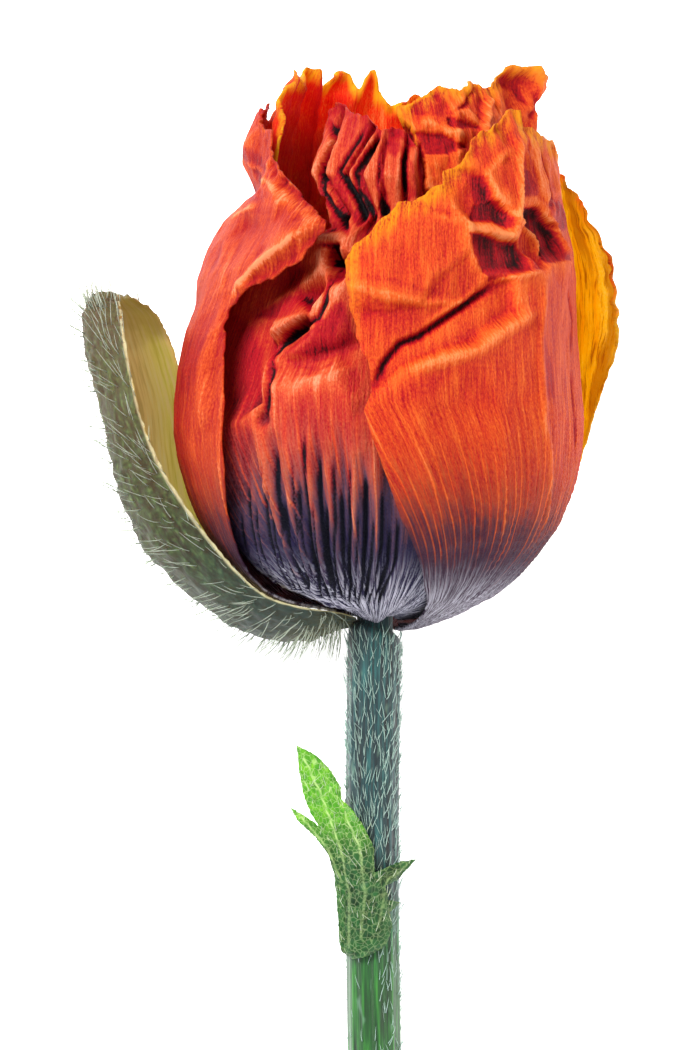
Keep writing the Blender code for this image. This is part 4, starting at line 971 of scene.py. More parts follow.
def front_right_petal() -> Petal:
    """Return the outer petal at the front right: a folded-over lobe, a shoulder and two pockets."""
    outline = [(50, -7.2), (44, -6), (36, -3), *seen_line((5, 3), (2.6, 10), (0.7, 15.5), (-1.2, 21),
               (-0.2, 23), (-0.8, 26.3), (-1.8, 28.8), (-2.6, 31.4), (-3, 34.2), (-2.7, 36.2), (-1.7, 37.8),
               (-0.4, 38.8), (0.6, 40.2), (1.6, 40.9), (2.4, 41.7), (3.6, 41.8), (4.6, 42.4), (5.7, 43.3),
               (6.8, 43.3), (6.8, 45.2), (7.7, 45.3), (8.8, 45.6), (9.3, 47), (9.6, 48), (10.4, 48.3),
               (10.6, 48.8), (11.5, 49.3), (12.4, 49.6), (13, 51.1), (14, 51), (14.5, 49.4), (15.3, 49.2),
               (16, 48.7), (16.8, 48.2), (17.7, 47.8), (17.9, 46.8), (18.6, 46.5)), (84, 45), (93, 42.6),
               (99, 41), (104, 38.6), (108, 36.6), (112, 32.6), (115, 24), (114, 14), (109, 5), (100, -1),
               (90, -5), (80, -7.2)]
    marks = [
        # The two deep pockets, painted crimson as painted shade, and the lit edges round them, painted
        # lighter.
        zone(-0.9, 0.12, (9.3, 38.8), (10.5, 38.8), (12.5, 37.8), (14.4, 37.7), (15.5, 36.5), (16.9, 35.2),
             (14.5, 34.6), (11.3, 33.9), (10.3, 35.2), (9.5, 37.5), height=-0.2),
        zone(-0.9, 0.12, (14.5, 41.3), (16.5, 41.4), (17, 40.2), (18, 39.2), (19.9, 36.2), (18.5, 35.8),
             (17.1, 35.7), (16, 36.7), (14.8, 38.2), height=-0.2),
        zone(0.35, 0.15, (9.2, 39.9), (11.5, 39.8), (13, 39), (14.4, 38.8), (14.4, 37.8), (12.3, 37.9),
             (10.6, 38.8), (9.3, 38.8), height=0.3),
        crease(0.6, 0.22, 0.5, (16.5, 41.4), (17.1, 40.2), (18.1, 39.6), (18.5, 38.8), (19.2, 37.2),
               (20, 36)),
        crease(0.7, 0.25, 0.4, (14.4, 49), (14.5, 46), (14.5, 41.5), (14.4, 40.2), (14.8, 38.2),
               (17, 35.2)),
        crease(0.6, 0.25, 0.3, (11.3, 33.9), (14.5, 34.5), (17, 35)),
        # The crumpled part above the pockets, with painted shade in its hollows and painted highlight on
        # its ridges.
        zone(-0.6, 0.2, (9.6, 41.5), (12.6, 42.2), (13.2, 40.9), (14.4, 40.3), (14.3, 39.2), (13, 39.2),
             (11.6, 39.9), (9.4, 39.9), height=-0.2),
        zone(-0.55, 0.5, (9, 44.6), (11, 44.8), (12.6, 41.6), (9.6, 41.4)),
        crease(0.35, 0.3, 0.5, (14.2, 47.5), (12.6, 46.3), (11.3, 44.8), (12.3, 42.4), (13, 40.8),
               (14.4, 40.6)),
        zone(0.6, 0.2, (13, 41), (14.4, 41.2), (14.4, 40.2), (13.4, 40.3)),
        zone(-0.7, 0.15, (14.5, 45.2), (15.5, 45.1), (16.2, 43.4), (16.3, 42.5), (14.6, 42.2)),
        zone(0.3, 0.3, (14.5, 42.4), (16.3, 42.5), (17.4, 41.6), (16.6, 41.3), (14.5, 41.3)),
        zone(0.45, 0.35, (15.2, 49), (16.3, 48), (17, 45.5), (17.8, 42.5), (17.3, 41.6), (16.4, 42.6),
             (16.2, 44.5), (15.4, 46.5), height=0.2),
        zone(-0.7, 0.2, (17.5, 41.8), (18.9, 42), (19.8, 40.5), (19.7, 39.5), (18.8, 38.6), (17.6, 40.4)),
        zone(0.25, 0.4, (16.8, 48.2), (17.8, 47.2), (18.6, 46.5), (19.5, 42.5), (18.2, 42), (17.2, 44.5)),
        crease(-0.5, 0.3, -0.9, (15.8, 48.8), (16.7, 46.5), (17.5, 43.5), (17.9, 42.3), (17.2, 41)),
        # The lobe folded over at the left, with its bright ridge: a painted highlight.
        zone(0.25, 0.4, (-3, 34), (-2.3, 33.9), (0.5, 33.4), (4.5, 32.4), (8, 31.9), (7.5, 31.3),
             (4.5, 31.1), (0.5, 31.7), (-2, 32.8), (-2.9, 33), height=0.2),
        zone(-0.3, 0.6, (-2.3, 34.8), (-1, 34.9), (2.5, 34.3), (6.5, 33.2), (8.3, 32.1), (4.5, 32.6),
             (0.5, 33.6), (-2.3, 34)),
        zone(-0.15, 1.0, (-2, 32), (0.5, 31.4), (4.5, 30.9), (7, 30.9), (4, 28.5), (2.3, 27.7), (0, 28.5),
             (-1.5, 30.5)),
        crease(0.5, 0.6, 0.25, (6.9, 43.2), (8, 41.2), (9.2, 39.9), (9.3, 38.6), (10, 36), (11.2, 34)),
        crease(0.2, 0.4, 0.35, (4.5, 41.4), (7.5, 40.2), (9, 39.8)),
        crease(-0.2, 0.3, -0.35, (3.5, 42), (6, 41), (9, 40.2)),
        # The crease under the lobe, painted dark as painted shade, and the lit shoulder below it, painted
        # lighter.
        crease(-1.0, 0.28, -0.9, (-0.3, 22.8), (0.8, 25.5), (2.3, 27.5), (4, 28.2), (6.5, 30.2),
               (8.5, 31.8), (11.2, 33.6)),
        crease(0.3, 0.25, 0.3, (3.8, 28.9), (6.6, 31), (8, 31.9), (10.6, 34.2)),
        zone(0.25, 0.8, (2.5, 26.8), (6.5, 29.8), (9.5, 31.6), (11.5, 33.6), (17, 34.8), (17, 33),
             (15.5, 30.5), (13, 29.3), (10.5, 27.6), (8, 26.7), (5.5, 26.3), (3, 24.9)),
        crease(0.6, 0.5, 0.3, (2.7, 24.9), (6.5, 26), (10.5, 27.2), (13, 29.2), (16.8, 31.3)),
        zone(-0.3, 2.0, (2.5, 24.6), (6.6, 25.8), (10.5, 26.8), (9.5, 24.8), (5.5, 21), (2, 20), (1, 22.5)),
        # The upright folds at the right side, with painted highlight on the ridges and painted shade in the
        # grooves.
        crease(0.35, 0.35, 0.2, (17, 34.5), (17, 32), (16.6, 28), (16.8, 24), (17, 20), (16.4, 8)),
        zone(-0.4, 0.4, (16.8, 31), (17.1, 28.5), (17.8, 25.5), (17.9, 22.5), (17.2, 21.5), (16.8, 23.9)),
        crease(-0.3, 0.3, -0.5, (19.4, 26), (19.7, 21), (19.9, 15)),
        crease(-0.4, 0.25, -0.8, (19.5, 35.8), (19.5, 30), (19.4, 26)),
    ]
    return Petal("petal_front_right", "petal_orange", PetalTissue("poppy_petal_front_right"), outline,
                 marks, vein_left=[(-8, 46), (3, 22), (21, -6), (45, -14)],
                 vein_right=[(-8, 82), (3, 104), (21, 114), (45, 116)], near_turns=(-18, 86), seed=11,
                 fine_spacing=0.25, rim_width=2.6, rim_glow_share=0.8, hollow_shade=0.15, hollow_share=0.15,
                 mark_relief=0.9)


def left_petal() -> Petal:
    """Return the outer petal at the left: a smooth cheek, a rolled edge and a forward flap."""
    outline = [(-78, -7.2), (-75, -3), (-71, 1), *seen_line((-14.3, 8), (-15.2, 15), (-15.1, 22),
               (-14.9, 27), (-14.4, 31), (-12.2, 33.4), (-9.8, 34.6), (-7.7, 36), (-6.2, 37.8),
               (-5.2, 38.9), (-4.9, 39.9), (-5.9, 41.2), (-6.8, 41.9), (-7.6, 43.1), (-8.5, 43.9),
               (-8.8, 44.9), (-9.9, 45.9), (-10.6, 47.5), (-10.7, 48.9), (-11.7, 49.4)), (-84, 51),
               (-91, 50.6), (-98, 52), (-103, 50.8), (-108, 50.4), (-114, 51.8), (-120, 51.6), (-127, 50.2),
               (-133, 49.8), (-140, 51.2), (-146, 51), (-153, 49), (-160, 48.2), (-174, 46), (-186, 39),
               (-190, 30), (-190, 18), (-185, 8), (-172, 0), (-155, -4), (-140, -7.2)]
    marks = [
        # The rolled edge: a fold with a painted highlight along it, and the petal's inner side turned out
        # below it.
        crease(0.45, 0.22, 1.2, (-15.2, 31), (-14, 33), (-12.5, 35), (-11.3, 36.2), (-9, 37.8), (-7, 39.5)),
        crease(-0.3, 0.4, -0.2, (-14.6, 32.6), (-13, 35.2), (-11.6, 36.8), (-9.6, 38.2)),
        zone(0.15, 0.5, (-14.8, 31), (-14, 32.7), (-12.4, 34.6), (-10.8, 34.4), (-12.5, 33.6), (-13.8, 32)),
        zone(0.2, 0.5, (-11.2, 36), (-6.8, 39.4), (-5.6, 38.8), (-5.8, 37.7), (-7.8, 35.8), (-10.5, 34.3)),
        # The cheek: a band along its edge painted lighter and a facet above painted darker, painted
        # highlight and painted shade.
        zone(0.1, 1.0, (-15.3, 29), (-15, 24), (-15.2, 15), (-14.6, 6), (-16.6, 10), (-17.3, 16),
             (-17.2, 24), (-16.2, 28)),
        zone(-0.3, 1.2, (-17.9, 30.5), (-15.4, 31.6), (-15.2, 30.6), (-15.9, 29.6), (-17.6, 26),
             (-18.5, 22), (-19.8, 22), (-19, 27)),
        crease(0.25, 0.4, 0.5, (-16.6, 32.2), (-15.3, 33.4), (-14.6, 36), (-13.6, 38.4)),
        crease(-0.25, 0.5, -0.3, (-16.9, 34), (-15.8, 36.4), (-14.9, 38.8)),
        # The forward flap and the lobe above it, with painted highlight on their lit facets and painted
        # shade in the recesses.
        zone(-0.2, 0.3, (-13.9, 40.9), (-11.2, 41.6), (-10.2, 41.4), (-10.6, 40.6), (-13, 40.4)),
        crease(0.3, 0.2, 1.0, (-14.6, 40), (-13.6, 40.8), (-12.6, 41.3), (-11.6, 41.6)),
        zone(0.35, 0.4, (-9.4, 43.6), (-8.5, 43.2), (-6.5, 41.8), (-5.2, 40.2), (-5, 39.8), (-7, 39.8),
             (-9.6, 42), height=0.2),
        zone(-0.25, 0.4, (-9.8, 42.2), (-6.8, 39.8), (-7.4, 39.2), (-9, 38.6), (-9.9, 40.4)),
        crease(0.35, 0.25, 0.5, (-10.2, 41.8), (-9.4, 42), (-8.9, 42.6), (-8.9, 43.6)),
        crease(0.35, 0.22, 0.9, (-13.2, 46.2), (-12.6, 45.6), (-11.6, 45.2), (-10.6, 43.8), (-9.9, 42.6),
               (-10.2, 41.8)),
        zone(-0.6, 0.8, (-13.8, 50), (-10.4, 50), (-10.2, 44.2), (-12.4, 43.2), (-14.2, 46)),
        zone(-0.35, 2.0, (-19.4, 30), (-15.4, 29), (-15.3, 7), (-19, 7), (-21.4, 20)),
        crease(-0.3, 0.3, -0.5, (-13.2, 44.6), (-12, 43), (-11.2, 41.9)),
        zone(-0.3, 0.6, (-11.6, 44.6), (-10.4, 42.8), (-10.4, 41.8), (-11.8, 42.2), (-12.6, 43.6)),
    ]
    tissue = PetalTissue("poppy_petal_left",
                         ("#0a0103", "#3a0008", "#8c0014", "#aa0e14", "#c03412", "#dc581e", "#f89664"))
    return Petal("petal_left", "petal_orange", tissue, outline, marks,
                 vein_left=[(-8, -142), (8, -180), (30, -196), (50, -196)],
                 vein_right=[(-8, -76), (8, -58), (30, -48), (50, -40)], near_turns=(-100, -5), seed=23,
                 fine_spacing=0.28, rim_width=0.6, rim_glow_share=0.2)


def back_right_petal() -> Petal:
    """Return the outermost petal, round the back, with a free lobe that stands off at the right."""
    outline = [(114, -7.2), (113, -3), (112, 3), (111, 10), (108, 16), (104, 19.6), (99.5, 22.4),
               (97, 25.5), (95.5, 28), (95, 30.5), (95, 34.7), (96, 37), (97.5, 39.6), (99.5, 41.6),
               (104, 43.6), (112, 45.4), (120, 44.4), (130, 47.2), (140, 45.8), (150, 48.4), (163, 46.8),
               (176, 48.2), (190, 44.6), (201, 38), (206, 28), (205, 15), (199, 6), (186, -1), (174, -4.5),
               (162, -7.2)]
    marks = [
        # The first three folds are painted lighter on the ridge and darker in the grooves, painted
        # highlight and painted shade.
        Crease([(99, 39.6), (99.4, 36), (99.6, 30), (100.5, 26)], 0.3, 0.3, 0.4),
        Crease([(102, 41), (102.4, 34), (102, 26)], -0.2, 0.3, -0.3),
        Crease([(108, 42.6), (109, 34), (108, 26)], -0.3, 0.5, -0.5),
        Crease([(124, 45), (123, 36), (125, 26), (126, 14)], 0.4, 0.8),
        Crease([(138, 45), (137, 34), (138, 22)], 0.35, 0.7),
        Crease([(153, 46), (151, 36), (153, 24)], 0.4, 0.7),
        Crease([(168, 46), (169, 35), (165, 20)], 0.35, 0.7),
        Crease([(185, 44), (185, 35), (182, 24)], 0.35, 0.7),
    ]
    # The tones are painted yellow, a painted glow of light coming through the single layer, and veining
    # paints the veins dark against it.
    tissue = PetalTissue("poppy_petal_back_right",
                         ("#c4560a", "#f0900a", "#ffb80e", "#ffcc1c", "#ffdc30", "#ffe860", "#fff4a8"),
                         rim="#f0701a", glow="#ffc400", blotch_top=12.0, translucent=0.7, veining=0.5)
    return Petal("petal_back_right", "petal_amber", tissue, outline, marks,
                 vein_left=[(-8, 112), (10, 100), (30, 92), (48, 92)],
                 vein_right=[(-8, 164), (10, 200), (30, 210), (48, 206)], near_turns=(88, 122),
                 near_rises=(14, 60), seed=37, ruffle=0.16, hollow_shade=0.0, rim_width=1.2, rim_glow_share=0.6)


def front_petal() -> Petal:
    """Return the inner petal at the front: a pleated belly, a hollow and an accordion above."""
    outline = [(-82, -7.2), (-82, 2), (-82, 10), (-82, 20), (-84, 29), (-80, 35.5), (-66, 38),
               *seen_line((-9.6, 38, -2.6), (-6.8, 38.6, -1.6), (-4.8, 39.4, -3), (-6.2, 42.8, -2.2),
               (-7.6, 44.8, -1.4), (-6.8, 47.3, -2.2), (-5.9, 49.6, -3.6), (-5.4, 51, -4),
               (-4.2, 51.9, -4.2), (-2.9, 51, -3.6), (-1.2, 50.3, -3.4), (0.3, 49.2, -3.6),
               (1.6, 49.4, -4.6), (3.2, 48.8, -5.2), (4.6, 46.6, -4.4), (5, 43, -3.4)), (22, 39.5),
               (36, 36), (48, 30), (54, 22), (58, 12), (62, 3), (66, -3), (70, -7.2)]
    marks = [
        # The accordion: slits between upright pleats that all bend at one height, painted black as painted
        # shade.
        crease(-1.0, 0.30, -1.6, (-4.6, 50.2), (-5.8, 48.4), (-6.6, 45.5), (-6.8, 44.6), (-5.3, 42.8),
               (-3.8, 40.8), (-2.9, 39.2), (-2.6, 38)),
        crease(-1.0, 0.28, -1.6, (-0.6, 49.9), (-2.2, 47.3), (-3.8, 44.9), (-2.6, 43.2), (-1.3, 41.2),
               (-0.5, 39.2)),
        crease(-1.0, 0.28, -1.6, (0.6, 49.3), (-0.9, 46.8), (-2.2, 44.8), (-1.7, 43), (-0.7, 41.3),
               (0.1, 39.8)),
        crease(-0.5, 0.14, -1.2, (0.8, 48.6), (0.4, 46.5), (0.2, 43.5), (0.8, 41.5), (1, 40)),
        crease(-1.0, 0.32, -1.6, (3.4, 48.4), (2.8, 46), (2.9, 44), (3.2, 42)),
        zone(-0.8, 0.5, (-6.3, 45), (-3.9, 44.8), (-2, 41.5), (-0.8, 39.2), (-2, 39.2), (-3, 41.4),
             (-4.8, 43.4)),
        zone(-0.6, 0.3, (-3.4, 44.7), (-2.6, 44.4), (-0.9, 41.4), (-0.2, 39.6), (-0.7, 39.4), (-2.2, 42.4)),
        zone(-1.4, 0.3, (0.2, 42.6), (1.6, 41.4), (1.5, 40.4), (0.8, 39.6), (0.3, 41), height=-0.6),
        zone(-0.7, 0.4, (1, 48.2), (2.8, 47.8), (3, 46.8), (2, 46.2), (1.2, 46.6)),
        zone(-0.7, 0.3, (3.2, 46.6), (4, 45.6), (4.3, 42.2), (3.4, 42), (3, 44.5)),
        crease(0.3, 0.25, 0.3, (-5.9, 50.2), (-6.9, 47), (-7.2, 44.8), (-5.8, 43.2), (-3.6, 40),
               (-3.3, 38.6)),
        crease(0.3, 0.22, 0.35, (-6.2, 44.2), (-4.6, 42.4), (-3, 40.8), (-2, 39)),
        # The curl, the flap and the holes where the pleats run together, painted dark as painted shade.
        crease(0.6, 0.3, 0.3, (-6.2, 38.3), (-4.6, 38.4), (-3.4, 38.6), (-2.8, 39.5)),
        crease(-0.5, 0.2, -1.5, (-6, 37.6), (-4.5, 37.5), (-2.8, 37.6)),
        zone(-1.6, 0.3, (-5.2, 39.8), (-4, 39.5), (-3.8, 38.8), (-5, 38.8), height=-0.6),
        zone(-0.3, 0.3, (-4.8, 37.3), (-2.8, 37.5), (-2, 36.6), (-2.5, 36), (-4, 36.2), height=0.4),
        zone(-1.7, 0.25, (-4.6, 36.4), (-4.2, 36.2), (-2.6, 35.9), (-2.8, 35.3), (-4, 35.3), (-4.6, 35.5),
             height=-1.0),
        # The slit that runs from the holes down the left of the belly, painted dark as painted shade, with
        # painted highlight on the facets beside it.
        crease(-1.0, 0.3, -1.7, (-4.6, 35.2), (-4.9, 32), (-5.7, 30.2), (-7.5, 28.5), (-9.5, 27.3),
               (-10.5, 26.5), (-10.7, 24), (-10.9, 21), (-11.1, 19.5)),
        zone(-0.6, 0.5, (-12.5, 30.2), (-11.3, 31.2), (-8.5, 32.8), (-6, 32.4), (-5.7, 31), (-7.5, 30.5),
             (-10, 29.8), height=-0.2),
        zone(-0.5, 0.8, (-9, 35.5), (-6.8, 35.5), (-7.2, 33), (-9.2, 32.8)),
        zone(0.35, 0.5, (-6.8, 37.2), (-5, 37.2), (-4.7, 35.8), (-5.2, 33), (-5.3, 31.2), (-6.7, 30.8),
             (-7.5, 33), (-7.3, 35)),
        crease(0.2, 0.3, 0.1, (-5.7, 31.5), (-7.5, 30.2), (-10.3, 29.2), (-11.7, 28.4)),
        crease(0.25, 0.3, 0.2, (-4, 34.5), (-4.5, 31.5), (-6.2, 29.5), (-9.2, 27.4)),
        zone(0.15, 0.3, (-4, 35.5), (-3, 35.5), (-2.8, 33.5), (-3.2, 32), (-4.2, 32)),
        zone(-0.8, 0.5, (-3, 32), (-1.8, 28.5), (-2, 27.7), (-3.5, 26.8), (-6.5, 26.2), (-9, 26.3),
             (-9.3, 26.9), (-7, 28.5), (-5, 30.5), (-4.2, 32)),
        zone(-0.55, 0.8, (-14.8, 32), (-12, 29.5), (-11, 27), (-11.2, 20), (-12, 12), (-14.8, 8),
             (-15.6, 20)),
        zone(0.35, 0.5, (-9.6, 26), (-6.5, 26), (-3, 26.7), (-1, 27.8), (-0.8, 26.4), (-4.5, 24.5),
             (-7, 23.6), (-9.6, 22.8)),
        crease(0.3, 0.4, 0.15, (-9.4, 23), (-7.5, 23.8), (-4.5, 24.6), (-0.6, 26.2)),
        crease(-0.2, 0.2, -0.4, (-8.6, 25.6), (-5.6, 25), (-2, 26.8)),
        crease(-0.2, 0.2, -0.4, (-8.8, 24.6), (-5, 24.6), (-1.4, 26.6)),
        zone(-0.2, 2.0, (-10, 22.8), (-5, 24), (-0.6, 24.6), (0.8, 18), (-4, 14), (-10.4, 14)),
    ]
    marks += belly_pleats()
    tissue = PetalTissue("poppy_petal_front",
                         ("#040106", "#3c000a", "#a00018", "#b80a1e", "#c8361e", "#de5c30", "#f6946c"),
                         blotch_top=25.0, blotch_full=2.0, translucent=0.2,
                         blotch=("#c05834", "#a45446", "#744650", "#42324e", "#241f48"))
    return Petal("petal_front", "petal_red", tissue, outline, marks,
                 vein_left=[(-8, -46), (3, -66), (18, -80), (45, -84)],
                 vein_right=[(-8, 36), (3, 50), (18, 56), (45, 56)], near_turns=(-70, 30), seed=41,
                 offset=-1.3, fine_spacing=0.24, smoothing=1.0, vein_height=0.07, ruffle=0.06,
                 hollow_shade=0.2, rim_glow_share=0.0, mark_relief=0.8)


def belly_pleats() -> list[Crease]:
    """Return the grooves and ribs of the front petal's belly, which run down to its claw."""
    draw = np.random.default_rng(5)
    tops = [(-13.4, 11), (-12.6, 13.6), (-11.9, 12), (-11.2, 16.2), (-10.5, 14), (-9.8, 17), (-9.1, 12.6),
            (-8.4, 16.4), (-7.7, 14.2), (-7, 19.2), (-6.2, 13), (-5.5, 16.6), (-4.8, 12), (-4.1, 17.2),
            (-3.3, 13.4), (-2.5, 16.4), (-1.7, 12), (-0.9, 15), (-0.1, 11), (0.7, 13.6), (1.5, 9.8),
            (2.4, 10.8)]
    marks = []
    for x, z in tops:
        low = -2.4 + (x + 2.4) * 0.93 + draw.uniform(-0.12, 0.12)
        foot = -2.2 + (x + 2.2) * 0.5 + draw.uniform(-0.1, 0.1)
        depth = -0.45 + draw.uniform(-0.15, 0.15)
        width = 0.15 + draw.uniform(0.0, 0.08)
        belly = (low, z * 0.55)
        # Each groove is painted near black, a painted shade, and the rib beside it lighter, a painted
        # highlight.
        marks.append(crease(depth, width, -1.5, (x, z), belly, ((low + foot) / 2.0, 3.4), (foot, 1.2)))
        marks.append(crease(0.16, 0.25, 0.35, (x + 0.4, z + 1.0), (low + 0.4, z * 0.55), (foot + 0.3, 1.2)))
    return marks


def back_left_petal() -> Petal:
    """Return the inner petal at the back left, whose crumpled rim stands highest of all."""
    outline = [(-196, -7.2), (-202, 0), (-206, 12), (-208, 26), (-208, 40), (-204, 47.5), (-196, 53.4),
               (-188, 54.2), (-181, 53.4), (-174, 53), (-168, 54.6), (-163, 56.8), (-155, 54.6), (-148, 56),
               (-141, 56.4), (-133, 54.2), (-124, 56), (-115, 56.2), (-108, 54), (-101, 55), (-92, 54.8),
               (-83, 53), (-76, 50), (-72, 46), (-74, 40), (-84, 30), (-100, 18), (-116, 8), (-124, 0),
               (-128, -7.2)]
    marks = []
    # Folds near the rim, painted lighter on the ridges and darker in the grooves: painted highlight and
    # painted shade.
    for index in range(9):
        turn = -86.0 - 14.0 * index
        sign = (-1) ** index
        points = [(turn, 54), (turn - 2.0, 48), (turn - 4.0, 40)]
        marks.append(Crease(points, 0.4 * sign, 0.5, 0.4 * sign))
    near = [(-76, 34), (-76, 47), (-88, 51), (-106, 50), (-120, 50), (-134, 46), (-136, 34)]
    marks.append(Zone(near, -0.1, 3.0))
    marks.append(Zone([(-142, 44), (-142, 58), (-184, 58), (-184, 44)], 0.5, 3.0))
    tissue = PetalTissue("poppy_petal_back_left",
                         ("#1a0004", "#78000a", "#c4060c", "#e21410", "#ec2812", "#f65618", "#ffa050"),
                         rim="#ffc420", glow="#ff2a0a", translucent=0.45)
    return Petal("petal_back_left", "petal_red", tissue, outline, marks,
                 vein_left=[(-8, -198), (20, -210), (56, -210)],
                 vein_right=[(-8, -144), (20, -92), (56, -70)], near_turns=(-212, -60), near_rises=(36, 60),
                 seed=53, offset=-1.6, fine_spacing=0.4, coarse_spacing=0.9, hollow_shade=0.1, rim_width=1.8,
                 rim_glow_share=0.9)


def right_petal() -> Petal:
    """Return the inner petal at the right, crumpled above the front right petal's rim."""
    outline = [(66, -7.2), (64, -1), (58, 10), (50, 22), (36, 32), (20, 38), *seen_line((4.8, 41, -1.4),
               (3.9, 43, -0.6), (3.8, 46, -1), (4.3, 47.6, -1.6), (2.8, 49.2, -4), (2.1, 51, -5),
               (4.4, 52.2, -3), (6.9, 53.6, -1.6), (8.6, 53.1, -2.8), (10.6, 54.2, -1.2),
               (12.4, 53.2, -1.6)), (60, 54.6), (72, 54.8), (84, 53), (95, 53.2), (106, 50.6), (116, 52.6),
               (127, 51.6), (138, 54.6), (148, 53.6), (158, 55), (165, 48), (166, 36), (164, 22), (160, 10),
               (158, 0), (158, -7.2)]
    marks = [
        zone(0.2, 0.15, (3.5, 46.3), (6.6, 46), (6.7, 45.2), (6.8, 43.4), (4.6, 42.4), (3.6, 44)),
        zone(-0.54, 0.15, (3.2, 48.5), (6.4, 48.6), (8.5, 48), (9.4, 47.4), (7, 46.5), (4.2, 46.2),
             height=-0.5),
        zone(-0.36, 0.15, (3.2, 50.2), (5.5, 50.2), (6.6, 50.2), (6.5, 52.8), (4.5, 52), (3.6, 51.4)),
        crease(0.4, 0.35, 0.4, (3.5, 49.8), (5.4, 49.4), (7, 48.9), (9.4, 48.3)),
        crease(0.3, 0.3, 0.9, (1.9, 50.5), (4, 52.4), (7, 53.7)),
        zone(0.35, 0.15, (6.5, 54), (8.5, 54.2), (10.6, 53.9), (9, 51.6), (7.3, 50.8), (6.6, 52.5),
             height=0.2),
        zone(-0.45, 0.15, (7, 50.4), (10, 49.4), (10.8, 49.2), (8, 49.2), (7.2, 49.6), height=-0.4),
        zone(0.4, 0.15, (8.2, 51), (11, 49.3), (11.6, 49), (11.2, 50), (9, 51.3), height=0.3),
        crease(-0.5, 0.25, -0.7, (10.4, 53.7), (9, 51.7), (8.2, 51)),
        crease(0.4, 0.3, 0.5, (11.8, 53.2), (11.4, 51.4), (11.4, 49.2)),
        zone(0.3, 0.15, (11.8, 53.4), (14, 53), (13, 50.4), (11.6, 49.4)),
        crease(-0.5, 0.3, -0.8, (16.4, 53.8), (16.4, 52.2), (16.4, 51.2), (15.2, 49.6)),
        crease(-0.4, 0.25, -0.6, (14, 53.6), (14.6, 52.2), (16.2, 51.2)),
    ]
    # Folds near the rim, painted lighter on the ridges and darker in the grooves: painted highlight and
    # painted shade.
    for index in range(6):
        turn = 92.0 + 13.0 * index
        sign = (-1) ** index
        points = [(turn - 3.0, 53), (turn, 48), (turn + 3.0, 41)]
        marks.append(Crease(points, 0.4 * sign, 0.5, 0.3 * sign))
    tissue = PetalTissue("poppy_petal_right", rim="#f59a14")
    return Petal("petal_right", "petal_red", tissue, outline, marks,
                 vein_left=[(-8, 84), (20, 50), (40, 10), (56, 0)],
                 vein_right=[(-8, 118), (20, 166), (56, 170)], near_turns=(0, 100), near_rises=(38, 60),
                 seed=67, offset=-2.4, fine_spacing=0.26, coarse_spacing=0.9, smoothing=1.0,
                 hollow_shade=0.1, rim_width=2.2, rim_glow_share=0.8, hollow_share=0.3, mark_relief=0.9)


@dataclass(frozen=True)
class HairStyle:
    """How a coat of hairs grows: its count, its size and how it bends."""

    count: int
    length: Place
    radius: float
    lift: float
    curl: float
    joints: int = 4
    sides: int = 3


def hair_coat(roots: Array, outward: Array, along: Array, style: HairStyle,
              draw: np.random.Generator) -> tuple[Array, Array]:
    """Build a coat of curved, tapered hairs.

    Args:
        roots: where each hair leaves the skin, in flower millimetres.
        outward: the skin's unit normals there.
        along: the unit directions in which the hairs lean.
        style: the coat's sizes.
        draw: the source of random numbers.

    Returns:
        The points and the triangles of all the hairs.
    """
    count = len(roots)
    length = draw.uniform(*style.length, count)[:, None]
    lift = np.radians(style.lift + draw.normal(0.0, 11.0, count))[:, None]
    side = np.cross(outward, along)
    swing = draw.normal(0.0, 0.28, count)[:, None]
    lean = along + side * swing
    lean /= np.linalg.norm(lean, axis=1)[:, None]
    curl = style.curl * draw.uniform(0.5, 1.5, count)[:, None]
    rings = []
    spine = roots - outward * 0.12
    for joint in range(style.joints):
        share = joint / style.joints
        angle = lift * (1.0 - curl * share)
        way = outward * np.sin(angle) + lean * np.cos(angle)
        across = np.cross(way, side)
        radius = style.radius * (1.0 - 0.8 * share)
        ring = []
        for corner in range(style.sides):
            turn = FULL_TURN * corner / style.sides
            ring.append(spine + (side * math.cos(turn) + across * math.sin(turn)) * radius)
        rings.append(np.stack(ring, axis=1))
        spine = spine + way * length / style.joints
    points = np.concatenate([np.concatenate(rings, axis=1), spine[:, None, :]], axis=1)
    n = style.sides
    faces = [(2, 1, 0)]
    for joint in range(style.joints - 1):
        for corner in range(n):
            a, b = joint * n + corner, joint * n + (corner + 1) % n
            faces += [(a, b, a + n), (b, b + n, a + n)]
    tip = style.joints * n
    faces += [(tip - n + corner, tip - n + (corner + 1) % n, tip) for corner in range(n)]
    size = points.shape[1]
    all_faces = (np.array(faces)[None, :, :] + (np.arange(count) * size)[:, None, None]).reshape(-1, 3)
    return points.reshape(-1, 3), all_faces


@dataclass(frozen=True)
class HairFinish:
    """Plant hair: a clear, stiff bristle, pale where it stands against the dark skin."""

    name: str
    shaded: str = "#9cc0b2"
    lit: str = "#c8dcd2"

    def build(self) -> Material:
        """Return the hairs' material."""
        s = Shading(self.name)
        where = add_node(s.tree, "TexCoord").outputs["Object"]
        tone = s.noise(where, (900.0, 900.0, 900.0), 2.0)
        colour = s.mix(tone, self.shaded, self.lit)
        skin = s.skin(colour, 0.35, s.bump(tone, 0.01), specular_ior_level=0.5)
        return s.lit_through(skin, 0.3, colour)


def grow(name: str, slot: str, finish: HairFinish, row: Array, faces: Array) -> None:
    """Make and dress a coat of hairs from its points in row metres, none of them below the floor."""
    dress(to_object(name, above_floor(row), faces), finish.build())


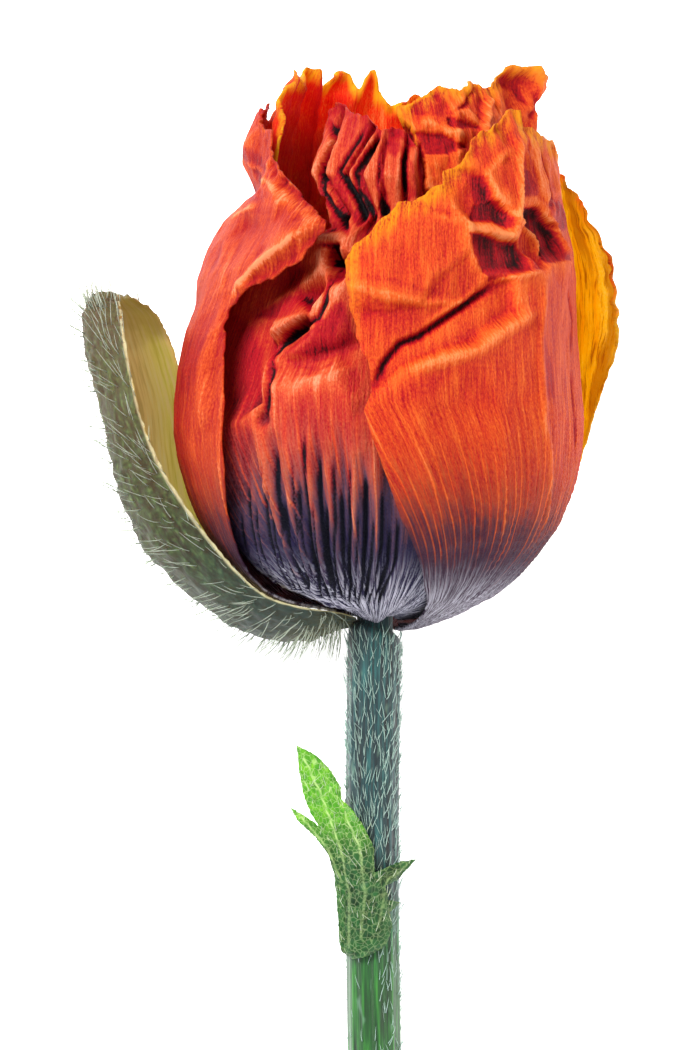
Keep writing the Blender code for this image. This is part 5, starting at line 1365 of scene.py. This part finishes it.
@dataclass(frozen=True)
class StemSkin:
    """Poppy stem: a matt, waxy green skin, blue-green above and fresher green at the foot."""

    name: str = "poppy_stem_skin"

    def build(self) -> Material:
        """Return the stem's material."""
        s = Shading(self.name)
        _, height, _, vector = s.attribute("skin")
        # Fine ribs run up the stem, about 0.4 mm apart.
        rib = s.noise(vector, (2.6, 0.12, 1.0))
        blotch = s.noise(vector, (0.8, 0.3, 1.0), 2.0)
        upper = s.ramp(rib, [(0.34, "#020c0e"), (0.5, "#0b2c30"), (0.66, "#225a58")])
        lower = s.ramp(rib, [(0.3, "#06240a"), (0.5, "#154e18"), (0.7, "#38862c")])
        cut = s.add(height, s.times(blotch, 6.0))
        colour = s.mix(s.span(cut, -20.0, -34.0), upper, lower)
        colour = s.mix(s.times(s.span(blotch, 0.6, 0.75), 0.3), colour, "#7fa58c")
        normal = s.bump(rib, 0.12)
        return s.finish(s.skin(colour, 0.5, normal, specular_ior_level=0.45, sheen_weight=0.2))


@dataclass
class Stem:
    """The hairy stem, its shoulder and the slim neck that carries the head."""

    radius: float = STEM_RADIUS
    foot: float = STEM_FOOT
    shoulder: float = -0.9
    neck_radius: float = 1.85
    neck_top: float = 4.6
    sides: int = 72
    step: float = 0.5

    def middle(self, z: Array) -> Array:
        """Return how far the stem's middle lies to the left at each height."""
        return -0.25 * np.sin(math.pi * clamped(-z / -self.foot))

    def radius_at(self, z: Array) -> Array:
        """Return the radius at each height."""
        heights = [self.foot, self.foot + 0.12, self.foot + 0.4, -3.0, -1.4, self.shoulder,
                   self.shoulder + 0.3, 1.5, self.neck_top - 0.4, self.neck_top]
        stem = [self.radius * share for share in (0.93, 0.975, 1.0, 1.0, 0.98, 0.86)]
        neck = [self.neck_radius * share for share in (1.0, 1.0, 1.0, 0.8)]
        return np.interp(z, heights, stem + neck)

    def skin(self) -> tuple[Array, Array, Array]:
        """Return the stem's points, triangles and skin coordinates."""
        z = np.concatenate([[self.foot, self.foot + 0.12], np.arange(self.foot + 0.4, -1.5, self.step),
                            [-1.4, -1.1, self.shoulder, -0.7, -0.6, 0.0, 1.0, 2.5, 4.2, self.neck_top]])
        angle = np.linspace(0.0, FULL_TURN, self.sides, endpoint=False)
        grid_z, grid_a = np.meshgrid(z, angle, indexing="ij")
        rib = 0.05 * np.sin(grid_a * 11.0 + 0.4 * np.sin(grid_z * 0.2))
        rib = rib * clamped((-1.5 - grid_z) / 4.0)
        radius = self.radius_at(grid_z) - 0.05 + rib
        x = self.middle(grid_z) + radius * np.sin(grid_a)
        points = np.stack([x, -radius * np.cos(grid_a), grid_z], axis=-1).reshape(-1, 3)
        ends = np.array([[0.0, 0.0, self.foot + 0.15], [0.0, 0.0, self.neck_top]])
        skin = np.stack([grid_a * self.radius, grid_z, np.zeros_like(grid_z)], axis=-1).reshape(-1, 3)
        skin = np.concatenate([skin, [[0.0, self.foot, 1.0], [0.0, self.neck_top, 0.0]]])
        return np.concatenate([points, ends]), capped_tube(*grid_z.shape), skin

    def hairs(self) -> tuple[Array, Array]:
        """Return the points and triangles of the stem's hairs, which lie upward along it."""
        draw = np.random.default_rng(71)
        count = 2100
        z = draw.uniform(self.foot + 0.6, -1.6, count)
        angle = draw.uniform(0.0, FULL_TURN, count)
        dense = np.interp(z, [-46.0, -34.0, -30.0, -10.0], [0.45, 0.5, 0.85, 1.0])
        keep = draw.uniform(0.0, 1.0, count) < dense
        bare = (np.sin(angle) < 0.2) & (z < -33.0) & (draw.uniform(0.0, 1.0, count) < 0.75)
        z, angle = z[keep & ~bare], angle[keep & ~bare]
        outward = np.stack([np.sin(angle), -np.cos(angle), np.zeros_like(z)], axis=1)
        roots = outward * self.radius + np.stack([self.middle(z), np.zeros_like(z), z], axis=1)
        along = np.tile([0.0, 0.0, 1.0], (len(z), 1))
        style = HairStyle(count, (1.0, 2.1), 0.055, 20.0, 1.0)
        return hair_coat(roots, outward, along, style, draw)

    def build(self, pose: Pose) -> None:
        """Build and dress the stem and its coat of hairs."""
        points, faces, skin = self.skin()
        piece = to_object("stem_skin", above_floor(pose.to_row(points), 0.0), faces)
        set_attribute(piece, "skin", skin)
        dress(piece, StemSkin().build(), "stem")
        hairs, faces = self.hairs()
        grow("stem_hairs", "stem", HairFinish("poppy_stem_hair"), pose.to_row(hairs, slant=False), faces)


def capped_tube(rows: int, sides: int) -> Array:
    """Return the triangles of a closed tube, seen from outside.

    Args:
        rows: the number of its rings of points.
        sides: the number of points in a ring.

    Returns:
        The triangles.  The middles of the first and the last ring are the last two points.
    """
    ring = np.arange(sides)
    after = (ring + 1) % sides
    faces = []
    for row in range(rows - 1):
        a, b = ring + row * sides, after + row * sides
        faces.append(np.stack([a, b, b + sides], axis=1))
        faces.append(np.stack([a, b + sides, a + sides], axis=1))
    count = rows * sides
    top = count - sides
    faces.append(np.stack([after, ring, np.full(sides, count)], axis=1))
    faces.append(np.stack([ring + top, after + top, np.full(sides, count + 1)], axis=1))
    return np.concatenate(faces)


def above_floor(points: Array, gap: float = 0.00003) -> Array:
    """Return row points with none below the surface that the flower lies on."""
    points = points.copy()
    points[:, 2] = np.maximum(points[:, 2], gap)
    return points


SEPAL_OUTER = [(-2.4, -1.5), (-5.2, -2.5), (-8.5, -2.7), (-13.5, -1.2), (-17.5, 1.5), (-22.3, 5.8),
               (-24.8, 10), (-26.2, 15), (-27, 20), (-28.2, 25), (-29, 29), (-28.8, 31.6), (-27.6, 33)]
SEPAL_NEAR = [(-1.7, -0.4, -1.9), (-4.6, 0.5, -4.6), (-7.2, 1.2, -5.8), (-10.4, 2.4, -6.4),
              (-13, 4.5, -6.8), (-16.2, 8.2, -6.8), (-19.3, 12.6, -6.8), (-21.3, 16, -6.8),
              (-22.8, 20, -6.6), (-23.9, 24.6, -6), (-24.7, 28.6, -5), (-25.1, 31.2, -3.6),
              (-25.6, 32.6, -2)]
SEPAL_FAR = [(-1.7, -0.6, 1.9), (-5, -0.6, 4.6), (-7.8, 0, 6.2), (-11.2, 1.4, 7.8), (-14, 4.4, 9),
             (-16.6, 9, 9.6), (-18.2, 13.4, 9.8), (-18.9, 18, 9.6), (-19.3, 21.8, 9), (-19.9, 25.2, 8.2),
             (-20.9, 28.6, 7), (-22.4, 31.4, 5.4), (-24.4, 32.7, 3.2)]
HAIR_REACH_LEFT = -30.8


def along_line(points: Sequence[tuple[float, ...]], share: Array) -> Array:
    """Return smooth points at shares of the way along a line of evenly counted points."""
    table = np.array(points, dtype=float)
    table = np.concatenate([2.0 * table[:1] - table[1:2], table, 2.0 * table[-1:] - table[-2:-1]])
    place = clamped(share) * (len(points) - 1)
    index = np.minimum(place.astype(int), len(points) - 2)
    t = (place - index)[..., None]
    a, b, c, d = (table[index + i] for i in range(4))
    return 0.5 * (2.0 * b + (c - a) * t + (2.0 * a - 5.0 * b + 4.0 * c - d) * t ** 2
                  + (3.0 * b - a - 3.0 * c + d) * t ** 3)


@dataclass(frozen=True)
class SepalTissue:
    """Poppy sepal: a leathery husk, grey-green and bristly outside, tan and yellow inside."""

    name: str = "poppy_sepal_husk"

    def build(self) -> Material:
        """Return the sepal's material."""
        s = Shading(self.name)
        across, along, inner, vector = s.attribute("husk")
        # Veins run the length of the husk, about 0.5 mm apart.
        vein = s.noise(vector, (1.9, 0.14, 1.0))
        spot = s.noise(vector, (2.2, 2.2, 1.0))
        patch = s.noise(vector, (0.28, 0.28, 1.0))
        tone = s.add(s.times(vein, 0.45), s.times(spot, 0.55))
        outside = s.ramp(tone, [(0.34, "#08100c"), (0.45, "#1a2a20"), (0.55, "#2c4a2c"), (0.68, "#5c7c44")])
        lower = s.span(along, 22.0, 8.0)
        outside = s.mix(lower, outside, s.ramp(tone, [(0.34, "#03161a"), (0.66, "#1a464a")]))
        outside = s.mix(s.times(s.span(spot, 0.36, 0.28), 0.85), outside, "#10140f")
        # The lining is painted near white, paler than its own tan and yellow: painted light that lifts it
        # out of the shade it lies in.
        tan = s.ramp(vein, [(0.36, "#c8a894"), (0.5, "#ffe4cc"), (0.64, "#fff6ec")])
        gold = s.ramp(vein, [(0.36, "#d0dc60"), (0.5, "#f2fc98"), (0.64, "#ffffd8")])
        lining = s.mix(s.span(s.add(along, s.times(patch, 14.0)), 24.0, 8.0), tan, gold)
        lining = s.mix(s.span(across, 5.5, 10.0), lining, gold)
        colour = s.mix(inner, outside, lining)
        edge = s.span(s.math("ABSOLUTE", across), 10.9, 11.3)
        colour = s.mix(s.times(edge, 0.8), colour, "#e6dfae")
        tip = s.span(s.add(along, s.times(patch, 5.0)), 39.0, 43.0)
        colour = s.mix(s.times(tip, s.add(0.25, s.times(inner, 0.5))), colour, "#6b4a33")
        normal = s.bump(tone, 0.25)
        skin = s.skin(colour, 0.6, normal, specular_ior_level=0.35, sheen_weight=0.1)
        # The thin lining lets far more light through than the husk's outside.
        share = s.add(s.times(inner, 0.5), 0.35)
        return s.lit_through(skin, share, s.mix(0.5, colour, "#ffeaa8"))


@dataclass
class Sepal:
    """The one sepal that still holds on: a hollow boat, open towards the petals."""

    thickness: float = 0.8
    rows: int = 120
    columns: int = 64
    length_mm: float = 46.0
    girth_mm: float = 23.0

    def surface(self, share: Array, across: Array) -> Array:
        """Return points of the outer face; across runs from -1 near the front to 1 behind."""
        outer = along_line(SEPAL_OUTER, share)
        near = along_line(SEPAL_NEAR, share)[..., [0, 2, 1]]
        far = along_line(SEPAL_FAR, share)[..., [0, 2, 1]]
        middle = (near + far) / 2.0
        bulge = np.stack([outer[..., 0], np.zeros_like(share), outer[..., 1]], axis=-1)
        bulge = bulge - middle * np.array([1.0, 0.0, 1.0])
        angle = across * math.pi / 2.0
        return middle + bulge * np.cos(angle)[..., None] + (far - near) / 2.0 * np.sin(angle)[..., None]

    def sheet(self) -> tuple[Array, Array, Array, Array]:
        """Return the outer points, their normals, the triangles and the husk coordinates."""
        draw = np.random.default_rng(83)
        share = np.linspace(0.0, 1.0, self.rows)
        across = np.linspace(-1.0, 1.0, self.columns)
        grid_s, grid_a = np.meshgrid(share, across, indexing="ij")
        ragged = 0.012 * np.cumsum(draw.normal(0.0, 0.35, self.rows)) * np.sin(math.pi * share)
        ragged += 0.012 * draw.uniform(-1.0, 1.0, self.rows)
        grid_a = grid_a * (1.0 - np.abs(ragged)[:, None] * np.abs(grid_a) ** 6)
        points = self.surface(grid_s, grid_a).reshape(-1, 3)
        faces = []
        cell = np.arange(self.columns - 1)
        for row in range(self.rows - 1):
            a = cell + row * self.columns
            b = a + self.columns
            faces.append(np.stack([a, b, a + 1], axis=1))
            faces.append(np.stack([a + 1, b, b + 1], axis=1))
        faces = np.concatenate(faces)
        normals = vertex_normals(points, faces)
        if normals[(self.rows // 2) * self.columns + self.columns // 2][0] > 0.0:
            faces = faces[:, ::-1]
            normals = -normals
        around = grid_a * self.girth_mm / 2.0
        husk = np.stack([around, grid_s * self.length_mm, np.zeros_like(grid_s)], axis=-1)
        return points, normals, faces, husk.reshape(-1, 3)

    def build(self, pose: Pose) -> None:
        """Build and dress the sepal and its bristles."""
        points, normals, faces, husk = self.sheet()
        places = husk[:, :2]
        relief = 0.10 * waves(places, 1.6, 84) + 0.12 * waves(places, 4.0, 85) - 0.15
        skin = points + normals * relief[:, None]
        thick = self.thickness * np.interp(np.abs(husk[:, 0]), [8.0, 11.5], [1.0, 0.35])
        inner = points - normals * thick[:, None]
        both, shell = closed_shell(skin, inner, faces)
        piece = to_object("sepal_husk", above_floor(pose.to_row(both)), shell)
        lining = husk.copy()
        lining[:, 2] = 1.0
        set_attribute(piece, "husk", np.concatenate([husk, lining]))
        dress(piece, SepalTissue().build(), "sepal")
        draw = np.random.default_rng(89)
        picks = draw.choice(len(points), 820, replace=False)
        picks = picks[(husk[picks, 1] > 1.5) & (husk[picks, 1] < 44.5)]
        uphill = np.roll(points.reshape(self.rows, self.columns, 3), -1, axis=0).reshape(-1, 3)
        along = (uphill - points)[picks]
        along /= np.maximum(np.linalg.norm(along, axis=1), 1e-6)[:, None]
        style = HairStyle(len(picks), (2.2, 4.0), 0.055, 62.0, 0.35)
        hairs, faces = hair_coat(points[picks], normals[picks], along, style, draw)
        hairs[:, 0] = np.maximum(hairs[:, 0], HAIR_REACH_LEFT)
        finish = HairFinish("poppy_sepal_hair", shaded="#8a9a80", lit="#e4eada")
        grow("sepal_hairs", "sepal", finish, pose.to_row(hairs), faces)


LEAF_OUTLINE = [(-2, -33.6), (-0.6, -33.2), (1.2, -32.2), (1.9, -30.4), (1.6, -28.9), (2.7, -28),
                (1.5, -27.6), (1.2, -26.2), (2.6, -25.6), (4.3, -23.7), (2.4, -24), (0.9, -24.6),
                (0.2, -24.9), (0.1, -22.4), (-0.8, -20.4), (-1.9, -18.8), (-3.1, -17.7), (-3.2, -16.4),
                (-4.4, -14.6), (-5.8, -13.2), (-7.6, -12.3), (-7.4, -14.6), (-7, -16.9), (-6.3, -18.9),
                (-5.4, -20.4), (-6.4, -19.6), (-8.2, -18.5), (-7.4, -19.9), (-5.6, -21.6), (-4.4, -23.2),
                (-3.8, -25.2), (-3.5, -28.8), (-3.4, -31.8), (-3.1, -33)]
LEAF_RIBS = [[(-2.2, -32.4), (-2.1, -27.0), (-3.2, -22.4), (-5.0, -17.6), (-6.9, -13.6)],
             [(-1.1, -31.4), (-0.7, -26.6), (-1.2, -22.2), (-2.6, -18.9)],
             [(0.4, -30.2), (1.4, -25.6), (3.4, -24.2)],
             [(-3.0, -26.0), (-4.6, -22.4), (-7.2, -19.4)]]


@dataclass(frozen=True)
class LeafTissue:
    """Poppy leaf: a soft, fresh green blade with a pale net of veins, lit through at its tips."""

    name: str = "poppy_leaf_blade"

    def build(self) -> Material:
        """Return the leaf's material."""
        s = Shading(self.name)
        _, height, rib, vector = s.attribute("blade")
        # The net of veinlets has cells of about 0.6 mm.
        inputs = {"Vector": vector, "Scale": 1.9}
        cells = add_node(s.tree, "TexVoronoi", inputs, feature="DISTANCE_TO_EDGE").outputs[0]
        tone = s.noise(vector, (1.2, 1.2, 1.2))
        colour = s.ramp(tone, [(0.25, "#2c7a1a"), (0.5, "#58a824"), (0.8, "#98d838")])
        lower = s.span(height, -18.0, -24.0)
        colour = s.mix(lower, colour, s.ramp(tone, [(0.34, "#0a2c18"), (0.66, "#2c6836")]))
        net = s.math("MAXIMUM", s.times(s.span(cells, 0.09, 0.02), 0.7), s.span(rib, 0.14, 0.04))
        net = s.times(net, s.span(height, -27.0, -19.0, 0.35, 0.85))
        colour = s.mix(net, colour, "#d4f09c")
        skin = s.skin(colour, 0.45, s.bump(s.math("SUBTRACT", tone, net), 0.12), specular_ior_level=0.45)
        return s.lit_through(skin, 0.35, s.mix(0.5, colour, "#b4e02c"))


@dataclass
class StemLeaf:
    """The small lobed leaf that clasps the stem."""

    thickness: float = 0.35
    solid_thickness: float = 0.7
    spacing: float = 0.22
    hug_radius: float = STEM_RADIUS + 0.40

    def behind(self, x: Array, z: Array) -> Array:
        """Return how far in front of the stem's middle the solid leaf's back lies."""
        side = np.minimum(np.abs(x), 2.5)
        beyond = np.abs(x) - side
        lift = 0.9 * np.maximum(0.0, (z + 31.0) / 18.0) ** 1.3
        return np.sqrt(self.hug_radius ** 2 - side ** 2) - 0.25 * beyond + lift + 0.06 * beyond ** 2

    def build(self, pose: Pose, stem: Stem) -> None:
        """Build and dress the leaf and its hairs."""
        draw = np.random.default_rng(97)
        rim = dense_line([*LEAF_OUTLINE, LEAF_OUTLINE[0]], self.spacing)[:-1]
        rim += 0.05 * draw.uniform(-1.0, 1.0, rim.shape)
        low, high = rim.min(axis=0), rim.max(axis=0)
        columns = np.arange(low[0], high[0], self.spacing)
        x, z = np.meshgrid(columns, np.arange(low[1], high[1], self.spacing * 0.87))
        x = x + (np.arange(x.shape[0]) % 2)[:, None] * self.spacing / 2.0
        fill = np.stack([x.ravel(), z.ravel()], axis=1)
        fill = fill[inside(rim, fill)]
        fill = fill[gap_to(fill, rim) > 0.6 * self.spacing]
        places, faces = spanned(rim, fill)
        ribs = np.concatenate([dense_line(rib, 0.1) for rib in LEAF_RIBS])
        rib_gap = gap_to(places, ribs)
        rim_gap = gap_to(places, rim)
        x, z = places[:, 0], places[:, 1]
        ahead = self.behind(x, z) + (self.solid_thickness - self.thickness) * 0.5
        ahead += 0.16 * np.exp(-rib_gap / 0.35) + 0.07 * waves(places, 1.5, 98) * clamped(rim_gap)
        ahead += 0.12 * waves(places, 2.2, 99) * np.exp(-rim_gap / 0.5)
        back = np.stack([x + stem.middle(z), -ahead, z], axis=1)
        normals = vertex_normals(back, faces)
        normals *= np.where(normals[:, 1] < 0.0, 1.0, -1.0)[:, None]
        thick = self.thickness * np.interp(rim_gap, [0.0, 0.6], [0.35, 1.0])
        front = back + normals * thick[:, None]
        both, shell = closed_shell(front, back, faces)
        piece = to_object("stem_leaf_blade", above_floor(pose.to_row(both, slant=False)), shell)
        blade = np.stack([x, z, rib_gap], axis=1)
        set_attribute(piece, "blade", np.concatenate([blade, blade]))
        dress(piece, LeafTissue().build(), "stem_leaf")
        picks = draw.choice(len(places), 90, replace=False)
        outward = normals[picks]
        along = np.tile([0.0, 0.0, 1.0], (len(picks), 1)) + 0.3 * draw.normal(0.0, 1.0, (len(picks), 3))
        along -= outward * (along * outward).sum(axis=1)[:, None]
        along /= np.linalg.norm(along, axis=1)[:, None]
        style = HairStyle(len(picks), (0.7, 1.7), 0.05, 35.0, 0.6)
        hairs, faces = hair_coat(front[picks], outward, along, style, draw)
        finish = HairFinish("poppy_leaf_hair", shaded="#b9cf9a", lit="#eef4d8")
        grow("stem_leaf_hairs", "leaf", finish, pose.to_row(hairs, slant=False), faces)


PISTIL_PROFILE = [(0, 18.2), (2.2, 18), (4.6, 17.4), (5.3, 16.9), (5.2, 16.4), (3.9, 16), (4.4, 14.8),
                  (4.8, 12.6), (4.6, 10), (3.8, 7.4), (2.6, 5.6), (1.6, 5.25), (0, 5.25)]


@dataclass(frozen=True)
class CapsuleSkin:
    """Unripe poppy capsule: smooth, waxy grey-green, with velvety dark rays on its disc."""

    name: str = "poppy_capsule_skin"

    def build(self) -> Material:
        """Return the pistil's material."""
        s = Shading(self.name)
        angle, height, _, vector = s.attribute("skin")
        tone = s.noise(vector, (1.2, 0.6, 1.0))
        body = s.ramp(tone, [(0.3, "#56704e"), (0.5, "#86a074"), (0.7, "#b3c39a")])
        ray = s.math("COSINE", s.times(angle, 13.0))
        disc = s.times(s.span(height, 16.3, 16.7), s.span(ray, -0.2, 0.5))
        colour = s.mix(disc, body, "#241628")
        rough = s.span(disc, 0.0, 1.0, 0.5, 0.9)
        return s.finish(s.skin(colour, rough, s.bump(tone, 0.1), sheen_weight=0.3))


@dataclass
class Pistil:
    """The young seed capsule with its rayed disc, in the middle of the head."""

    sides: int = 156
    rays: int = 13
    rows: int = 90
    low: float = PISTIL_PROFILE[-1][1]
    top: float = PISTIL_PROFILE[0][1]
    widest: float = 5.3

    def build(self, pose: Pose) -> None:
        """Build and dress the pistil."""
        profile = along_line(PISTIL_PROFILE, np.linspace(0.0, 1.0, self.rows))
        profile = np.clip(profile, [0.0, self.low], [self.widest, self.top])[1:-1]
        angle = np.linspace(0.0, FULL_TURN, self.sides, endpoint=False)
        radius, turn = np.meshgrid(profile[::-1, 0], angle, indexing="ij")
        height = np.repeat(profile[::-1, 1:2], self.sides, axis=1)
        wave = np.cos(turn * self.rays)
        disc = clamped((height - 16.2) / 0.4)
        belly = 0.015 * np.sin(turn * self.rays) * (1.0 - disc)
        radius = radius * (1.0 + 0.05 * wave * disc + belly)
        height = height + 0.15 * wave * disc * (radius > 0.3)
        points = np.stack([radius * np.sin(turn), -radius * np.cos(turn), height], axis=-1).reshape(-1, 3)
        points = np.concatenate([points, [[0.0, 0.0, self.low], [0.0, 0.0, self.top]]])
        skin = np.stack([turn, height, np.zeros_like(turn)], axis=-1).reshape(-1, 3)
        skin = np.concatenate([skin, [[0.0, self.low, 0.0], [0.0, self.top, 0.0]]])
        piece = to_object("pistil_capsule", pose.to_row(points), capped_tube(len(profile), self.sides))
        set_attribute(piece, "skin", skin)
        dress(piece, CapsuleSkin().build(), "pistil")


@dataclass(frozen=True)
class StamenFinish:
    """Poppy stamens: glossy purple-black threads with powdery violet anthers."""

    name: str = "poppy_stamen_threads"

    def build(self) -> Material:
        """Return the stamens' material."""
        s = Shading(self.name)
        where = add_node(s.tree, "TexCoord").outputs["Object"]
        # Pollen grains are 0.03 mm; the powder is drawn at about 0.2 mm to show.
        dust = s.noise(where, (5000.0, 5000.0, 5000.0), 2.0)
        colour = s.ramp(dust, [(0.3, "#150c1c"), (0.55, "#33203f"), (0.75, "#6a5578")])
        return s.finish(s.skin(colour, 0.6, s.bump(dust, 0.05), sheen_weight=0.3))


@dataclass
class Stamens:
    """The ring of stamens round the pistil, one fused bunch on a common ring."""

    count: int = 84
    ring_radius: float = 2.75
    ring_height: float = 4.0
    ring_thickness: float = 0.55
    thread_radius: float = 0.16
    anther_length: float = 2.3
    anther_radius: float = 0.5
    ring_points: int = 97
    joints: int = 12

    def tube(self, spine: Array, radii: Array, sides: int) -> tuple[Array, Array]:
        """Return the points and triangles of a tube with pointed ends along a spine."""
        way = np.gradient(spine, axis=0)
        way /= np.linalg.norm(way, axis=1)[:, None]
        side = np.cross(way, [0.3, 0.9, 0.1])
        side /= np.linalg.norm(side, axis=1)[:, None]
        across = np.cross(way, side)
        angle = np.linspace(0.0, FULL_TURN, sides, endpoint=False)
        angle = angle[None, :, None]
        ring = side[:, None, :] * np.cos(angle) + across[:, None, :] * np.sin(angle)
        points = (spine[:, None, :] + ring * radii[:, None, None]).reshape(-1, 3)
        ends = [spine[0] - way[0] * radii[0] * 0.5, spine[-1] + way[-1] * radii[-1] * 0.5]
        return np.concatenate([points, ends]), capped_tube(len(spine), sides)

    def build(self, pose: Pose) -> None:
        """Build and dress the stamens."""
        draw = np.random.default_rng(101)
        angle = np.linspace(0.0, FULL_TURN, self.ring_points)
        ring = np.stack([self.ring_radius * np.cos(angle), self.ring_radius * np.sin(angle),
                         np.full(self.ring_points, self.ring_height)], axis=1)
        parts = [self.tube(ring, np.full(self.ring_points, self.ring_thickness), 12)]
        for index in range(self.count):
            turn = FULL_TURN * (index + draw.uniform(-0.3, 0.3)) / self.count
            top = draw.uniform(12.0, 18.5)
            spread = np.interp(top, [12.0, 18.5], [7.9, 6.6]) + draw.uniform(-0.4, 0.4)
            rise = np.array([3.9, 5.4, 8.0, 10.5, top])
            out = np.array([self.ring_radius, 4.1, 5.9, 6.7, spread])
            share = np.linspace(0.0, 1.0, self.joints) * (len(rise) - 1.0)
            z = np.interp(share, range(len(rise)), rise)
            r = np.interp(share, range(len(out)), out)
            r = np.convolve(np.pad(r, 1, mode="edge"), [0.25, 0.5, 0.25], mode="valid")
            bend = turn + 0.05 * np.sin(share * 2.0 + index)
            spine = np.stack([r * np.sin(bend), -r * np.cos(bend), z], axis=1)
            parts.append(self.tube(spine, np.full(self.joints, self.thread_radius), 5))
            lean = np.array([math.sin(turn), -math.cos(turn), 0.0]) * 0.3 + np.array([0.0, 0.0, 0.95])
            lean /= np.linalg.norm(lean)
            steps = np.linspace(-0.5, 0.5, 7)
            anther = spine[-1] + lean * (steps[:, None] * self.anther_length + 0.4 * self.anther_length)
            size = self.anther_radius * np.sqrt(np.maximum(0.05, 1.0 - (2.0 * steps) ** 2))
            parts.append(self.tube(anther, size, 8))
        points, faces, start = [], [], 0
        for part_points, part_faces in parts:
            points.append(part_points)
            faces.append(part_faces + start)
            start += len(part_points)
        piece = to_object("stamen_bunch", pose.to_row(np.concatenate(points)), np.concatenate(faces))
        dress(piece, StamenFinish().build(), "stamens")


class Studio:
    """The light table, the soft lights and the camera, which looks down on the laid flower."""

    def __init__(self, pose: Pose) -> None:
        """Keep the flower's pose."""
        self.pose = pose

    def place(self, x: float, y: float, z: float) -> Vector:
        """Return a flower point in the row's metres."""
        return Vector(self.pose.to_row(np.array([[x, y, z]]), slant=False)[0])

    def table(self) -> None:
        """Add the floor: the white acrylic top of a light table, softly lit from below."""
        s = Shading("white_acrylic_table")
        where = add_node(s.tree, "TexCoord").outputs["Object"]
        # The frosted top has a fine tooth of about 0.5 mm.
        tooth = s.noise(where, (2000.0, 2000.0, 2000.0), 2.0)
        skin = s.skin(s.mix(tooth, "#fafafa", "#ffffff"), 0.6, s.bump(tooth, 0.01), emission_strength=0.95)
        skin.node.inputs["Emission Color"].default_value = (1.0, 1.0, 1.0, 1.0)
        size = 1.5
        points = np.array([(-size, -size, 0.0), (size, -size, 0.0), (size, size, 0.0), (-size, size, 0.0)])
        top = to_object("light_table", points, np.array([(0, 1, 2), (0, 2, 3)]), smooth=False)
        top.data.materials.append(s.finish(skin))

    def light(self, name: str, where: tuple[float, float, float], size: float, watts: float,
              colour: str) -> None:
        """Add a soft area light that faces the head.

        Args:
            name: the light's name.
            where: its place in flower millimetres.
            size: its width in metres.
            watts: its power.
            colour: its colour.
        """
        data = bpy.data.lights.new(name, "AREA")
        data.size = size
        data.energy = watts
        data.color = linear(colour)[:3]
        lamp = bpy.data.objects.new(name, data)
        lamp.location = self.place(*where)
        lamp.rotation_mode = "QUATERNION"
        lamp.rotation_quaternion = (self.place(0.0, 0.0, 15.0) - lamp.location).to_track_quat("-Z", "Y")
        bpy.context.scene.collection.objects.link(lamp)

    def camera(self) -> None:
        """Add the camera, square to the stem and level with the foot of the head."""
        data = bpy.data.cameras.new("camera")
        data.lens = 100.0
        data.sensor_width = 36.0
        camera = bpy.data.objects.new("camera", data)
        target = self.place(EYE_X, 0.0, EYE_Z)
        camera.location = self.place(EYE_X, -EYE_DISTANCE, EYE_Z)
        camera.rotation_mode = "QUATERNION"
        camera.rotation_quaternion = (target - camera.location).to_track_quat("-Z", "Y")
        bpy.context.scene.collection.objects.link(camera)
        bpy.context.scene.camera = camera

    def build(self) -> None:
        """Set up the table, the lights, the surrounding light and the camera."""
        self.table()
        self.light("key_light", (-170.0, -230.0, 190.0), 0.20, 2.2, "#ffffff")
        self.light("fill_light", (230.0, -190.0, 40.0), 0.30, 0.6, "#fff6ee")
        self.light("low_light", (40.0, -160.0, -230.0), 0.25, 0.5, "#eef4ff")
        world = bpy.data.worlds.new("studio_white")
        world.use_nodes = True
        background = world.node_tree.nodes["Background"]
        background.inputs["Color"].default_value = (1.0, 1.0, 1.0, 1.0)
        background.inputs["Strength"].default_value = 0.30
        bpy.context.scene.world = world
        bpy.context.scene.view_settings.view_transform = "Standard"
        self.camera()


def main() -> None:
    """Load the solids, build every piece over them, and set up the studio."""
    logging.basicConfig(level=logging.INFO, format="%(message)s")
    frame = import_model()
    nodes = frame["nodes"]
    pose = Pose(nodes["stem"])
    room = np.full((RISE_ROWS, TURNS_ROUND), FREE_ROOM)
    petals = (back_right_petal, front_right_petal, left_petal, front_petal, back_left_petal, right_petal)
    for design in petals:
        petal = design()
        dress(petal.build(pose, nodes[petal.name], room), petal.tissue.build(), petal.name)
    Sepal().build(pose)
    stem = Stem()
    stem.build(pose)
    StemLeaf().build(pose, stem)
    Pistil().build(pose)
    Stamens().build(pose)
    Studio(pose).build()


if __name__ == "__main__":
    main()
